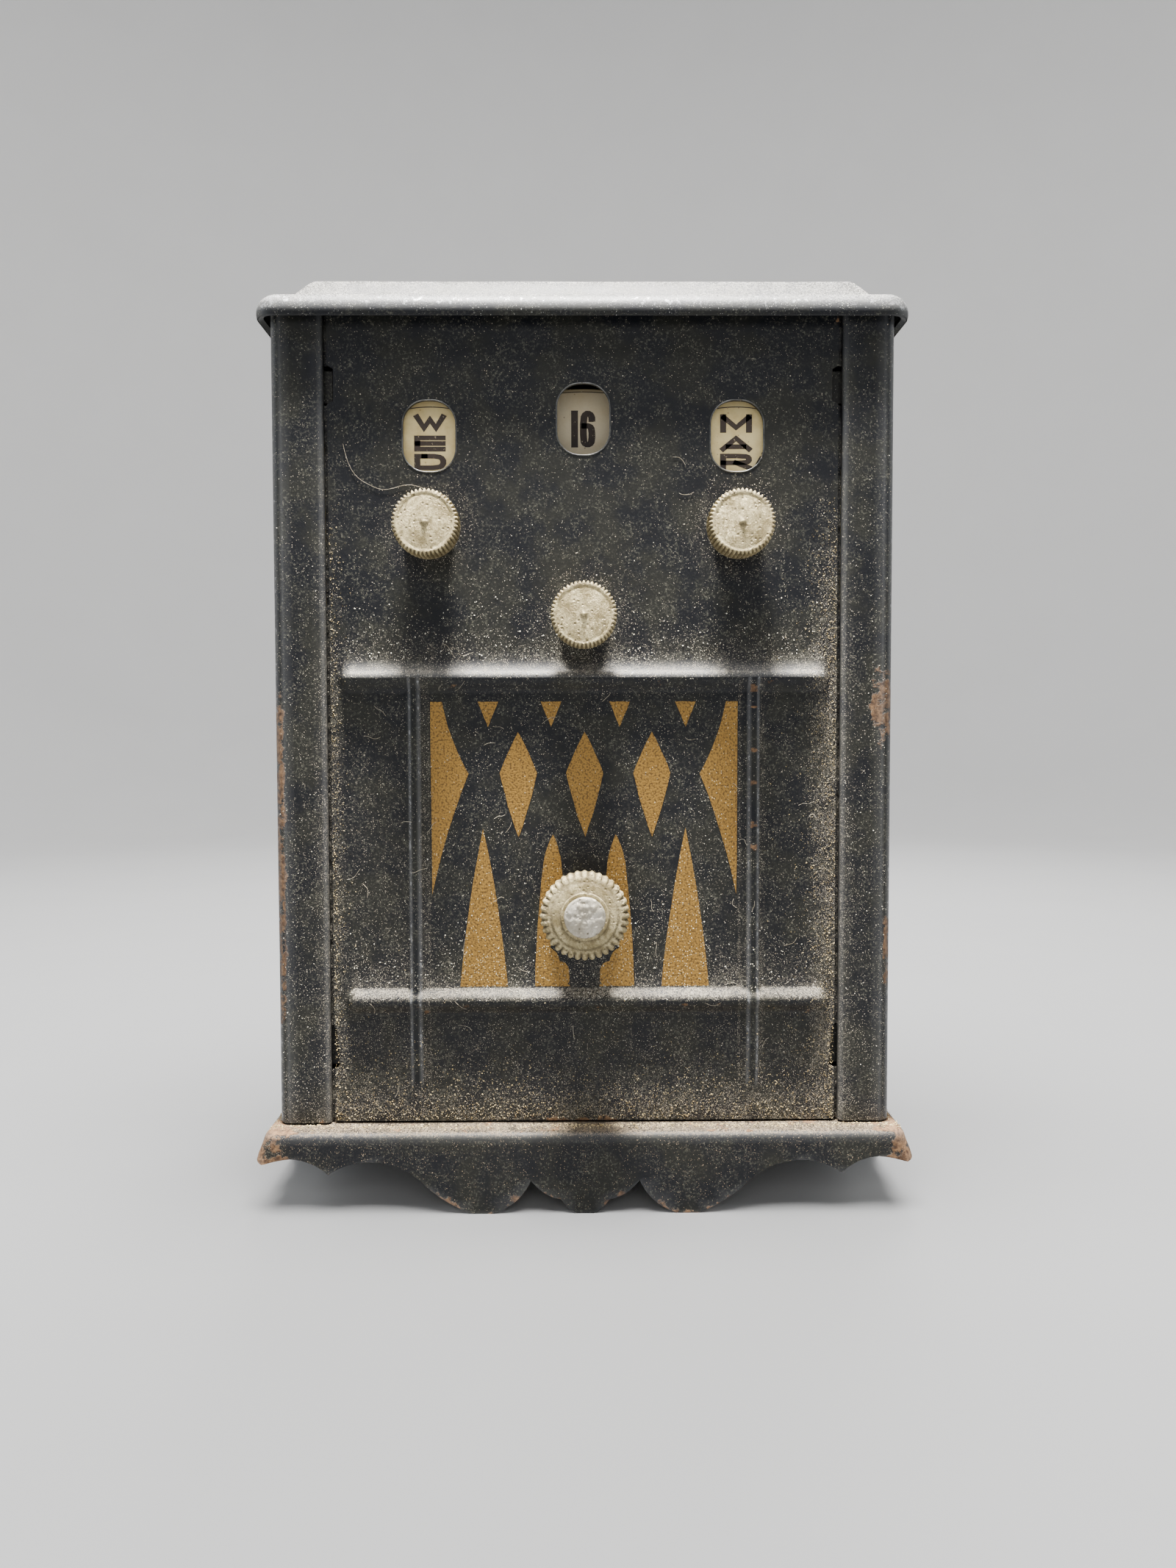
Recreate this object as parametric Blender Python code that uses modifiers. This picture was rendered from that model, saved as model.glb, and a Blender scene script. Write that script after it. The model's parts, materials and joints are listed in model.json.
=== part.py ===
"""A toy coin bank in pressed steel, shaped like a console radio, with a perpetual calendar.

Three small knobs turn the printed discs behind the windows. A large knob turns a lock cam at
the back, which holds a hinged rear door shut. Coins go in through a slot in the top.

Frame: +Z up, the front faces -Y, Z = 0 is the ground, and the origin lies under the middle of
the overall box. Lengths below are in millimetres. A place is given as (x, depth, height), where
depth runs backwards from the face of the pilasters. A turned piece is given as (radius, forward),
where forward is minus depth.
"""

import math

import bmesh
import bpy
from mathutils import Matrix, Vector

MM = 0.001

# Driving dimensions. Heights are from the ground; most are set up from the plinth's ledge.
BODY_W = 90.0  # casing, over its side walls
BODY_D = 48.0  # casing, pilaster face to back
LEDGE_Z = 11.85  # top of the plinth, the bank's floor
TOTAL_H = LEDGE_Z + 124.3  # ground to the top of the raised panel
SHEET = 0.7  # steel sheet
GAP = 0.3  # air between neighbouring pieces
SEAM = 0.01  # keeps two shapes that are joined from sharing a face
CORNER_R = 1.5  # casing corners
PILASTER_W = 7.6  # front flange of the casing
LIP_R = 0.8  # inner bend of each pilaster
LIP_DEPTH = 1.4  # how far back the pilaster's inner edge turns
LOCK_PROUD = 9.7  # lock shaft's end, ahead of the pilasters

# The plinth. Its apron's edge runs from the middle outwards, as (x, height, sag).
PLINTH_SIDE = 3.0  # how far the plinth stands out at each side
PLINTH_FRONT = 3.8  # and at the front and back
PLINTH_BEND_R = 1.5
PLINTH_CORNER_R = 2.2
FRONT_SCROLL = [
    (0.0, 0.0, 0),
    (1.2, 0.0, -0.25),
    (3.5, 2.1, -0.1),
    (5.5, 2.75, -0.15),
    (7.85, 4.85, -0.85),
    (13.4, 0.0, 0),
    (16.2, 0.0, -0.35),
    (22.6, 3.7, 1.0),
    (31.2, 7.7, 0.45),
    (37.1, 5.8, 0.55),
    (42.5, 8.15, 0.5),
    (50.0, 5.6, 0),
]
SIDE_SCROLL = [
    (0.0, 0.0, 0),
    (2.0, 0.0, -0.6),
    (7.0, 3.4, 0.6),
    (13.0, 6.9, 0.4),
    (18.5, 6.0, 0.6),
    (22.8, 8.2, 0.3),
    (29.8, 6.4, 0),
]
FLOOR_TAB_W = 6.0
FLOOR_TAB_DEPTHS = (10.0, 34.0)
FLOOR_TAB_FOOT = 4.5  # how far a tab is bent in under the floor

# The cornice.
CORNICE_OUT = 1.9  # how far the cornice lip stands out
CORNICE_H = 7.7  # lip edge to raised panel
SHELF_H = 3.6  # lip edge to the shelf behind it
SLOT_SIZE = (29.0, 2.8)  # coin slot
SLOT_DEPTH = 30.0  # how far back the coin slot lies
SLOT_CORNER_R = 1.0

# The front plate, set back between the pilasters.
PLATE_D = 0.8  # depth of its face
PLATE_HALF_W = 36.85
PLATE_BACK = PLATE_D + SHEET
WINDOW = (7.8, 11.1, 3.4)  # width, height, corner radius
WINDOW_RISE = 13.6  # window centre above its small spindle
# Notches: low, high, depth at the low end, depth at the high end.
UPPER_NOTCH = (LEDGE_Z + 104.8, LEDGE_Z + 110.4, 0.9, 0.9)
LOWER_NOTCH = (LEDGE_Z + 8.0, LEDGE_Z + 14.5, 0.8, 0.4)
NOTCH_SLANT = 0.15
EAR_INSET = 0.95  # ears bent back at the notches, inside the plate's edge
EAR_LENGTH = 3.0
EAR_TRIM = 0.5  # an ear is this much shorter than its notch at each end

# Ribs pressed in the front plate.
RIB_HALF_W = 1.25
RIB_H = 0.95
UPRIGHT_RIB_HALF_W = 1.5
UPRIGHT_RIB_H = 0.8
RIB_REACH = 34.9  # half length of the horizontal ribs
UPPER_RIB_Z = LEDGE_Z + 65.5
LOWER_RIB_Z = LEDGE_Z + 18.3
LOWER_RIB_SHIFT = 0.45  # the lower rib was pressed a little to the right
UPRIGHT_RIB_X = 24.7
UPRIGHT_RIB_FOOT = LEDGE_Z + 5.7

# Calendar and lock axes, as (x, height).
DAY_AXIS = (-22.2, LEDGE_Z + 87.0)
MONTH_AXIS = (22.2, LEDGE_Z + 87.0)
DATE_AXIS = (0.0, LEDGE_Z + 74.2)
LOCK_AXIS = (0.0, LEDGE_Z + 32.0)
DATE_WINDOW_Z = LEDGE_Z + 102.7

SPINDLE_R = 1.5
SHAFT_R = 2.4
CLEAR_R = 0.1  # running clearance on a radius
CARD_T = 0.4
SMALL_DISC_R = 20.0
DATE_DISC_R = 34.4
SMALL_DISC_D = PLATE_BACK + 0.4
DATE_DISC_D = PLATE_D + 4.6
PARTITION_D = 12.0
PARTITION_FLANGE = 5.0
SMALL_BUSH_R = 2.5
REAR_BUSH_R = 2.3
LOCK_BUSH_R = 3.4
REAR_FLANGE_T = 0.5  # flanges of the two bushes in the partition

# Small knob, as heights ahead of the pilaster face.
KNOB_R = 4.7
KNOB_BACK = 0.8
KNOB_FRONT = 5.8
KNOB_BORE_END = KNOB_FRONT - 1.2
KNURLS = 24
KNURL_DEPTH = 0.3
LOCK_KNOB_R = 6.25
LOCK_KNOB_BACK = 5.7
LOCK_NECK_R = 4.2
LOCK_NECK_END = 0.6
LOCK_KNURLS = 28
LOCK_KNURL_DEPTH = 0.4

# Lock cam, striker and rear door.
CAM_D = 42.0
CAM_T = 1.2
CAM_REACH = 11.0
STRIKER_X = 11.6  # leg of the striker, just past the cam's reach
STRIKER_LIP_X = 7.0  # free edge of the lip that the cam catches
STRIKER_HALF_Z = 3.0
STRIKER_RIVET_X = 16.4
STRIKER_RIVETS_Z = (LOCK_AXIS[1] - 1.9, LOCK_AXIS[1] + 1.9)
OPENING = (-28.0, 28.0, LEDGE_Z + 9.3, LEDGE_Z + 59.3)  # rear opening: x from, x to, z from, z to
OPENING_CORNER_R = 3.0
DOOR_LAP = 3.0
DOOR_CHAMFER = 2.0
DOOR_D = BODY_D + GAP
PULL_HALF_Z = 7.0  # half length of the door's pull lip
PULL_OUT = 2.2
HINGE_X = -33.0
KNUCKLE_R = 1.4
PIN_R = 0.7
HINGE_D = DOOR_D + KNUCKLE_R - 0.04
# Ends of the leaf's two knuckles.
HINGE_Z = (LEDGE_Z + 11.3, LEDGE_Z + 23.0, LEDGE_Z + 45.6, LEDGE_Z + 57.3)
LEAF_X = (-43.0, -34.8)
LEAF_RIVET_X = -39.0
LEAF_RIVETS_Z = (LEDGE_Z + 20.3, LEDGE_Z + 48.3)
WEB_INSET = 0.2  # the sheet beside a knuckle is this much shorter than the knuckle
RIVET_SHANK_R = 0.7
RIVET_HEAD_R = 1.4
RIVET_HEAD_H = 0.55
RIVET_PLAY = 0.15  # air under a rivet's head

FRONT_Y = (LOCK_PROUD - BODY_D - PLINTH_FRONT) / 2
CASE_Z = (LEDGE_Z + GAP, TOTAL_H - CORNICE_H + 2.6)
PLATE_Z = (LEDGE_Z + GAP, CASE_Z[1] - 0.4)

FINISHES = {
    "enamel": ((0.016, 0.017, 0.021), 0.42, 0.0),
    "nickel": ((0.52, 0.49, 0.41), 0.48, 1.0),
    "steel": ((0.42, 0.42, 0.41), 0.38, 1.0),
    "brass": ((0.58, 0.43, 0.19), 0.36, 1.0),
    "card": ((0.72, 0.66, 0.50), 0.85, 0.0),
}


def at(x, depth, height):
    """A place on the bank, in metres."""
    return Vector((x, FRONT_Y + depth, height)) * MM


def clear_scene():
    for obj in list(bpy.data.objects):
        bpy.data.objects.remove(obj)


def make_collection(name):
    collection = bpy.data.collections.new(name)
    bpy.context.scene.collection.children.link(collection)
    return collection


def make_material(name, finish):
    colour, roughness, metallic = FINISHES[finish]
    mat = bpy.data.materials.new(f"{name}_{finish}")
    mat.use_nodes = True
    mat.diffuse_color = (*colour, 1.0)
    shader = mat.node_tree.nodes["Principled BSDF"]
    shader.inputs["Base Color"].default_value = (*colour, 1.0)
    shader.inputs["Roughness"].default_value = roughness
    shader.inputs["Metallic"].default_value = metallic
    return mat


clear_scene()
PARTS = make_collection("calendar_coin_bank")
CUTTERS = make_collection("cutters")


def add_part(name, mesh, finish, parent=None):
    obj = bpy.data.objects.new(name, mesh)
    PARTS.objects.link(obj)
    mesh.materials.append(make_material(name, finish))
    obj.parent = parent
    return obj


def add_empty(name, location, rotation=(0.0, 0.0, 0.0)):
    empty = bpy.data.objects.new(name, None)
    empty.empty_display_size = 5 * MM
    PARTS.objects.link(empty)
    empty.location = location
    empty.rotation_euler = rotation
    return empty


def forward_empty(name, axis, depth=0.0):
    """An empty on a front-to-back axis, whose own +Z points out of the front."""
    return add_empty(name, at(axis[0], depth, axis[1]), (math.radians(90), 0.0, 0.0))


def attach(obj, empty):
    """Parents obj to an unrotated empty and leaves it where it is."""
    obj.parent = empty
    obj.matrix_parent_inverse = Matrix.Translation(-empty.location)


def as_tool(obj):
    """Moves obj to the cutters, where it only shapes other pieces."""
    for collection in list(obj.users_collection):
        collection.objects.unlink(obj)
    CUTTERS.objects.link(obj)
    obj.hide_render = True
    obj.display_type = "WIRE"
    return obj


def boolean(obj, tool, operation):
    modifier = obj.modifiers.new(f"{operation.lower()}_{tool.name}", "BOOLEAN")
    modifier.operation = operation
    modifier.solver = "EXACT"
    modifier.object = tool


def cut(obj, tool):
    boolean(obj, as_tool(tool), "DIFFERENCE")


def join(obj, tool):
    boolean(obj, as_tool(tool), "UNION")


def shade(mesh, angle=35.0):
    mesh.shade_smooth()
    mesh.set_sharp_from_angle(angle=math.radians(angle))


def settle(obj):
    """Turns obj's modifiers, or its curve, into a plain mesh."""
    bpy.context.view_layer.update()
    evaluated = obj.evaluated_get(bpy.context.evaluated_depsgraph_get())
    return bpy.data.meshes.new_from_object(evaluated)


# Shapes.


def block(name, low, high, finish="enamel"):
    """A block between two corners, each an (x, depth, height)."""
    a, b = at(*low), at(*high)
    bm = bmesh.new()
    bmesh.ops.create_cube(bm, size=1.0)
    bmesh.ops.scale(bm, vec=b - a, verts=bm.verts)
    mesh = bpy.data.meshes.new(name)
    bm.to_mesh(mesh)
    bm.free()
    obj = add_part(name, mesh, finish)
    obj.location = (a + b) / 2
    return obj


def turned(name, profile, finish, parent, steps=16, hollow=False):
    """A lathe-turned piece on parent's Z, from (radius, forward) down its outer side, front first.
    A hollow piece's profile is a closed loop, and a solid one starts and ends on the axis."""
    points = [(r * MM, 0.0, f * MM) for r, f in profile]
    edges = [(i, i + 1) for i in range(len(points) - 1)]
    if hollow:
        edges.append((len(points) - 1, 0))
    mesh = bpy.data.meshes.new(name)
    mesh.from_pydata(points, edges, [])
    obj = add_part(name, mesh, finish, parent)
    screw = obj.modifiers.new("turn", "SCREW")
    screw.axis = "Z"
    screw.angle = math.tau
    screw.steps = steps
    screw.render_steps = steps
    screw.use_merge_vertices = True
    screw.merge_threshold = 0.00001
    screw.use_smooth_shade = True
    return obj


def ring(name, r_out, r_in, front, back, finish, parent, steps=16):
    """A plain turned ring between two forward heights."""
    profile = [(r_out, front), (r_out, back), (r_in, back), (r_in, front)]
    return turned(name, profile, finish, parent, steps, hollow=True)


def drill(obj, axis, radius, depth_from, depth_to, steps=16):
    """Bores obj from front to back."""
    seat = forward_empty(f"{obj.name}_drill_seat", axis)
    profile = [(0.0, -depth_from), (radius, -depth_from), (radius, -depth_to), (0.0, -depth_to)]
    drill_name = f"{obj.name}_drill_{axis[0]:.0f}_{axis[1]:.0f}"
    cut(obj, turned(drill_name, profile, "steel", seat, steps))


def knurl(obj, count, sink, band):
    """Sinks every second column of a turned piece's band, given as two forward heights.
    The piece has two turning steps a knurl."""
    mesh = settle(obj)
    obj.modifiers.clear()
    obj.data = mesh
    rim = max(math.hypot(v.co.x, v.co.y) for v in mesh.vertices)
    for vertex in mesh.vertices:
        radius = math.hypot(vertex.co.x, vertex.co.y)
        column = round(math.atan2(vertex.co.y, vertex.co.x) / (math.pi / count))
        in_band = band[0] * MM - 1e-6 <= vertex.co.z <= band[1] * MM + 1e-6
        if in_band and radius > rim * 0.9 and column % 2:
            vertex.co.x *= 1 - sink * MM / radius
            vertex.co.y *= 1 - sink * MM / radius
    shade(mesh)


def rounded_rectangle(cx, cy, width, height, radius, count=4):
    """The outline's points, anticlockwise, with count steps to a corner."""
    points = []
    for sx, sy, start in ((1, -1, -90), (1, 1, 0), (-1, 1, 90), (-1, -1, 180)):
        ox = cx + sx * (width / 2 - radius)
        oy = cy + sy * (height / 2 - radius)
        for i in range(count + 1):
            a = math.radians(start + 90 * i / count)
            points.append((ox + radius * math.cos(a), oy + radius * math.sin(a)))
    return points


def circle(cx, cy, radius, count=16):
    angles = [math.tau * i / count for i in range(count)]
    return [(cx + radius * math.cos(a), cy + radius * math.sin(a)) for a in angles]


def flat_plate(name, loops, thickness, finish="enamel"):
    """A plate lying in its own XY plane, from an outline and its holes."""
    curve = bpy.data.curves.new(name, "CURVE")
    curve.dimensions = "2D"
    curve.fill_mode = "BOTH"
    curve.extrude = thickness / 2 * MM
    for loop in loops:
        spline = curve.splines.new("POLY")
        spline.points.add(len(loop) - 1)
        for point, (x, y) in zip(spline.points, loop):
            point.co = (x * MM, y * MM, 0.0, 1.0)
        spline.use_cyclic_u = True
    drawn = bpy.data.objects.new(f"{name}_outline", curve)
    CUTTERS.objects.link(drawn)
    mesh = settle(drawn)
    bpy.data.objects.remove(drawn)
    bm = bmesh.new()
    bm.from_mesh(mesh)
    bmesh.ops.remove_doubles(bm, verts=bm.verts, dist=0.000001)
    bmesh.ops.recalc_face_normals(bm, faces=bm.faces)
    bm.to_mesh(mesh)
    bm.free()
    mesh.materials.clear()
    return add_part(name, mesh, finish)


def upright_plate(name, loops, depth_from, depth_to, finish="enamel"):
    """A plate that stands across the bank, with (x, height) outlines."""
    obj = flat_plate(name, loops, depth_to - depth_from, finish)
    obj.rotation_euler = (math.radians(90), 0.0, 0.0)
    obj.location = at(0.0, (depth_from + depth_to) / 2, 0.0)
    return obj


def side_plate(name, loops, x_from, x_to, finish="enamel"):
    """A plate that stands along the bank, with (depth, height) outlines."""
    obj = flat_plate(name, loops, x_to - x_from, finish)
    obj.rotation_euler = (math.radians(90), 0.0, math.radians(90))
    obj.location = at((x_from + x_to) / 2, 0.0, 0.0)
    return obj


def bent_sheet(name, path, z_from, z_to, finish="enamel"):
    """Sheet bent along a plan path of (x, depth) points; the path is its outer side."""
    mesh = bpy.data.meshes.new(name)
    low = [at(x, d, z_from) for x, d in path]
    high = [at(x, d, z_to) for x, d in path]
    n = len(path)
    faces = [(i, i + 1, n + i + 1, n + i) for i in range(n - 1)]
    mesh.from_pydata(low + high, [], faces)
    obj = add_part(name, mesh, finish)
    add_thickness(obj)
    return obj


def add_thickness(obj):
    solid = obj.modifiers.new("sheet", "SOLIDIFY")
    solid.thickness = SHEET * MM
    solid.offset = -1.0
    solid.use_even_offset = True


def pressed_cap(name, profile, half_w, half_d, corner, finish="enamel"):
    """A tray pressed from sheet, upside down: rings of (outset, height) from the open edge up,
    closed by a flat top. half_w and half_d are the plan's half sizes at no outset."""
    points = []
    rings = []
    for outset, z in profile:
        size = (2 * (half_w + outset), 2 * (half_d + outset))
        radius = max(corner + outset, GAP)
        outline = rounded_rectangle(0.0, BODY_D / 2, *size, radius)
        rings.append(range(len(points), len(points) + len(outline)))
        points += [at(x, d, z) for x, d in outline]
    n = len(rings[0])
    faces = [tuple(rings[-1])]
    for low, high in zip(rings, rings[1:]):
        faces += [(low[i], low[(i + 1) % n], high[(i + 1) % n], high[i]) for i in range(n)]
    mesh = bpy.data.meshes.new(name)
    mesh.from_pydata(points, [], faces)
    obj = add_part(name, mesh, finish)
    add_thickness(obj)
    return obj


def swept(points, steps=4):
    """Points along a run of (x, y, sag): each sag bows the stretch to the next point."""
    path = []
    for (x0, y0, sag), (x1, y1, _) in zip(points, points[1:]):
        length = math.hypot(x1 - x0, y1 - y0)
        nx, ny = -(y1 - y0) / length, (x1 - x0) / length
        count = steps if sag else 1
        for i in range(count):
            t = i / count
            bow = 4 * sag * t * (1 - t)
            path.append((x0 + (x1 - x0) * t + nx * bow, y0 + (y1 - y0) * t + ny * bow))
    path.append(points[-1][:2])
    return path


def mirrored(half):
    """A left-right symmetric run of points from its right half, left end first."""
    return [(-x, y) for x, y in reversed(half) if x > 0] + list(half)


# The cabinet.


def make_case_shell():
    """Sides, back and pilasters in one sheet, open at the front between the pilasters."""
    half_w = BODY_W / 2
    lip_x = half_w - PILASTER_W
    lip = [(lip_x, LIP_DEPTH)] + quarter(lip_x + LIP_R, LIP_R, LIP_R, 180, 3)
    front_corner = quarter(half_w - CORNER_R, CORNER_R, CORNER_R, 270, 4)
    back_corner = quarter(half_w - CORNER_R, BODY_D - CORNER_R, CORNER_R, 0, 4)
    right = lip + front_corner + back_corner
    path = right + [(-x, d) for x, d in reversed(right)]
    shell = bent_sheet("case_shell", path, *CASE_Z)

    x0, x1, z0, z1 = OPENING
    middle = ((x0 + x1) / 2, (z0 + z1) / 2)
    hole = [rounded_rectangle(*middle, x1 - x0, z1 - z0, OPENING_CORNER_R)]
    cut(shell, upright_plate("rear_opening", hole, BODY_D - 3, BODY_D + 2))
    for side in (-1, 1):
        for low, high, _, _ in (UPPER_NOTCH, LOWER_NOTCH):
            add_ear_tab(shell, side, low + EAR_TRIM, high - EAR_TRIM)
        for depth in FLOOR_TAB_DEPTHS:
            add_floor_tab(shell, side, depth)
    for z in LEAF_RIVETS_Z:
        drill(shell, (LEAF_RIVET_X, z), RIVET_SHANK_R + CLEAR_R, BODY_D - 2, BODY_D + 1, 12)
    return shell


def quarter(cx, cd, radius, start, count):
    """Plan points round a bend, from the start angle on through a quarter turn."""
    angles = [math.radians(start + 90 * i / count) for i in range(count + 1)]
    return [(cx + radius * math.cos(a), cd + radius * math.sin(a)) for a in angles]


def add_ear_tab(shell, side, low, high):
    """A tab behind the pilaster's lip, to which one of the front plate's ears is welded."""
    lip_x = BODY_W / 2 - PILASTER_W
    tab_x = PLATE_HALF_W - EAR_INSET + 0.05 + GAP
    front = PLATE_BACK + SHEET
    low_corner = (lip_x + SEAM, LIP_DEPTH - GAP, low)
    high_corner = (lip_x + SHEET - SEAM, front + SHEET - 0.2, high)
    root = block_on_side("ear_tab_root", side, low_corner, high_corner)
    tab = block_on_side("ear_tab", side, (tab_x, front, low), (lip_x + SHEET, front + SHEET, high))
    join(shell, tab)
    join(shell, root)


def add_floor_tab(shell, side, depth):
    """A tab that goes down through a slot in the floor and is bent inwards under it."""
    half_w = BODY_W / 2
    under = LEDGE_Z - SHEET - GAP
    end = depth + FLOOR_TAB_W
    root = (half_w - SEAM, end, LEDGE_Z + 1.5)
    leg = block_on_side("floor_tab", side, (half_w - SHEET + SEAM, depth, under - SHEET), root)
    tip = (half_w - FLOOR_TAB_FOOT, depth, under - SHEET)
    foot = block_on_side("floor_tab_foot", side, tip, (half_w - SHEET / 2, end, under))
    join(leg, foot)
    join(shell, leg)


def block_on_side(name, side, low, high):
    """A block given for the right-hand side, or its mirror image."""
    label = "left" if side < 0 else "right"
    if side < 0:
        low, high = (-high[0], *low[1:]), (-low[0], *high[1:])
    return block(f"{name}_{label}_{low[1]:.0f}_{low[2]:.0f}", low, high)


def plate_outline():
    """The front plate's edge: a notch high and low on each side."""
    z0, z1 = PLATE_Z
    half = [(PLATE_HALF_W, z0)]
    for low, high, low_depth, high_depth in (LOWER_NOTCH, UPPER_NOTCH):
        half += [
            (PLATE_HALF_W, low),
            (PLATE_HALF_W - low_depth, low + NOTCH_SLANT),
            (PLATE_HALF_W - high_depth, high - NOTCH_SLANT),
            (PLATE_HALF_W, high),
        ]
    half.append((PLATE_HALF_W, z1))
    return half + [(-x, z) for x, z in reversed(half)]


def rib(name, start, end, half_w, height, root):
    """A half-round rib between two (x, height) ends on the front plate's face, rooted inside it."""
    length = math.dist(start, end)
    bm = bmesh.new()
    bmesh.ops.create_uvsphere(bm, u_segments=10, v_segments=7, radius=half_w * MM)
    for vertex in bm.verts:
        stretch = length / 2 - half_w
        vertex.co.z += math.copysign(stretch * MM, vertex.co.z)
        vertex.co.y = min(vertex.co.y * height / half_w, root * MM)
    mesh = bpy.data.meshes.new(name)
    bm.to_mesh(mesh)
    bm.free()
    obj = add_part(name, mesh, "enamel")
    obj.location = at((start[0] + end[0]) / 2, PLATE_D - 0.02, (start[1] + end[1]) / 2)
    obj.rotation_euler = (0.0, math.atan2(end[0] - start[0], end[1] - start[1]), 0.0)
    return obj


def make_front_plate():
    """The face: windows for the calendar, holes for the bushes, ribs and ears."""
    width, height, radius = WINDOW
    windows = [
        rounded_rectangle(axis[0], axis[1] + WINDOW_RISE, width, height, radius)
        for axis in (DAY_AXIS, MONTH_AXIS)
    ]
    windows.append(rounded_rectangle(0.0, DATE_WINDOW_Z, width, height, radius))
    holes = [circle(*axis, SMALL_BUSH_R + GAP) for axis in (DAY_AXIS, MONTH_AXIS, DATE_AXIS)]
    holes.append(circle(*LOCK_AXIS, LOCK_BUSH_R + GAP))
    loops = [plate_outline()] + windows + holes
    plate = upright_plate("front_plate", loops, PLATE_D, PLATE_BACK)
    for label, shift, z in (("upper", 0.0, UPPER_RIB_Z), ("lower", LOWER_RIB_SHIFT, LOWER_RIB_Z)):
        ends = (shift - RIB_REACH, z), (shift + RIB_REACH, z)
        join(plate, rib(f"rib_{label}", *ends, RIB_HALF_W, RIB_H, SHEET * 0.5))
    for label, x in (("left", -UPRIGHT_RIB_X), ("right", UPRIGHT_RIB_X)):
        ends = (x, UPRIGHT_RIB_FOOT), (x, UPPER_RIB_Z)
        join(plate, rib(f"rib_{label}", *ends, UPRIGHT_RIB_HALF_W, UPRIGHT_RIB_H, SHEET * 0.65))
    outer = PLATE_HALF_W - EAR_INSET
    for side in (-1, 1):
        for low, high, _, _ in (UPPER_NOTCH, LOWER_NOTCH):
            root = (outer - SHEET, PLATE_D + 0.2, low + EAR_TRIM)
            tip = (outer, PLATE_BACK + EAR_LENGTH, high - EAR_TRIM)
            join(plate, block_on_side("ear", side, root, tip))
    return plate


def make_top_cornice():
    """A pressed cap: rolled lip, narrow shelf, sloped shoulder and raised panel with the coin slot."""
    lip_z = TOTAL_H - CORNICE_H
    profile = [
        (CORNICE_OUT - 0.35, lip_z),
        (CORNICE_OUT - 0.1, lip_z + 0.9),
        (CORNICE_OUT, lip_z + 1.8),
        (CORNICE_OUT - 0.15, lip_z + 2.6),
        (CORNICE_OUT - 0.6, lip_z + 3.25),
        (CORNICE_OUT - 1.5, lip_z + SHELF_H),
        (-1.8, lip_z + SHELF_H),
        (-2.6, lip_z + SHELF_H + 0.4),
        (-5.0, TOTAL_H - 0.6),
        (-5.6, TOTAL_H - 0.15),
        (-6.4, TOTAL_H),
    ]
    cornice = pressed_cap("top_cornice", profile, BODY_W / 2, BODY_D / 2, CORNER_R)
    width, height = SLOT_SIZE
    outline = rounded_rectangle(0.0, 0.0, width, height, SLOT_CORNER_R)
    slot = flat_plate("coin_slot", [outline], 6.0)
    slot.location = at(0.0, SLOT_DEPTH, TOTAL_H)
    cut(cornice, slot)
    return cornice


def scroll_outline(scroll, middle):
    """Everything under the apron's edge."""
    edge = mirrored(swept(scroll))
    edge = [(middle + x, z) for x, z in edge]
    return edge + [(edge[-1][0], -6.0), (edge[0][0], -6.0)]


def make_base_plinth():
    """A pressed tray: its top is the bank's floor, and its skirt is scroll-cut into feet."""
    bend = PLINTH_BEND_R
    out = (PLINTH_SIDE + PLINTH_FRONT) / 2
    half_w = BODY_W / 2 + PLINTH_SIDE - out
    half_d = BODY_D / 2 + PLINTH_FRONT - out
    profile = [(out, -2.0)]
    for i in range(4):
        a = math.radians(90 * i / 3)
        profile.append((out - bend + bend * math.cos(a), LEDGE_Z - bend + bend * math.sin(a)))
    plinth = pressed_cap("base_plinth", profile, half_w, half_d, PLINTH_CORNER_R - out)

    reach = 2.6
    front = scroll_outline(FRONT_SCROLL, 0.0)
    side = scroll_outline(SIDE_SCROLL, BODY_D / 2)
    ends = (-PLINTH_FRONT, BODY_D + PLINTH_FRONT)
    cut(plinth, upright_plate("scroll_front", [front], ends[0] - 1, ends[0] + reach))
    cut(plinth, upright_plate("scroll_back", [front], ends[1] - reach, ends[1] + 1))
    flank = BODY_W / 2 + PLINTH_SIDE
    cut(plinth, side_plate("scroll_right", [side], flank - reach, flank + 1))
    cut(plinth, side_plate("scroll_left", [side], -flank - 1, -flank + reach))
    for sign in (-1, 1):
        for depth in FLOOR_TAB_DEPTHS:
            low = (BODY_W / 2 - SHEET - GAP, depth - GAP, LEDGE_Z - 2)
            high = (BODY_W / 2 + GAP, depth + FLOOR_TAB_W + GAP, LEDGE_Z + 1)
            cut(plinth, block_on_side("floor_slot", sign, low, high))
    return plinth


def make_partition_plate():
    """A sheet behind the discs that keeps the coins off them and carries two bearings."""
    half = BODY_W / 2 - SHEET - 0.4
    flange = PARTITION_D + PARTITION_FLANGE
    path = [(-half, flange), (-half, PARTITION_D), (half, PARTITION_D), (half, flange)]
    plate = bent_sheet("partition_plate", path, CASE_Z[0] + GAP, CASE_Z[1] - 0.6)
    drill(plate, DATE_AXIS, REAR_BUSH_R + GAP, PARTITION_D - 2, PARTITION_D + 3)
    drill(plate, LOCK_AXIS, LOCK_BUSH_R + GAP, PARTITION_D - 2, PARTITION_D + 3)
    return plate


# The calendar.


def make_bush(name, axis, radius, flange_r, bore_r, front, flange_t, length):
    """A flanged bearing bush, flange forward."""
    seat = forward_empty(f"{name}_seat", axis)
    profile = [
        (flange_r, front),
        (flange_r, front - flange_t),
        (radius, front - flange_t),
        (radius, front - length),
        (bore_r, front - length),
        (bore_r, front),
    ]
    return turned(name, profile, "brass", seat, hollow=True)


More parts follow.
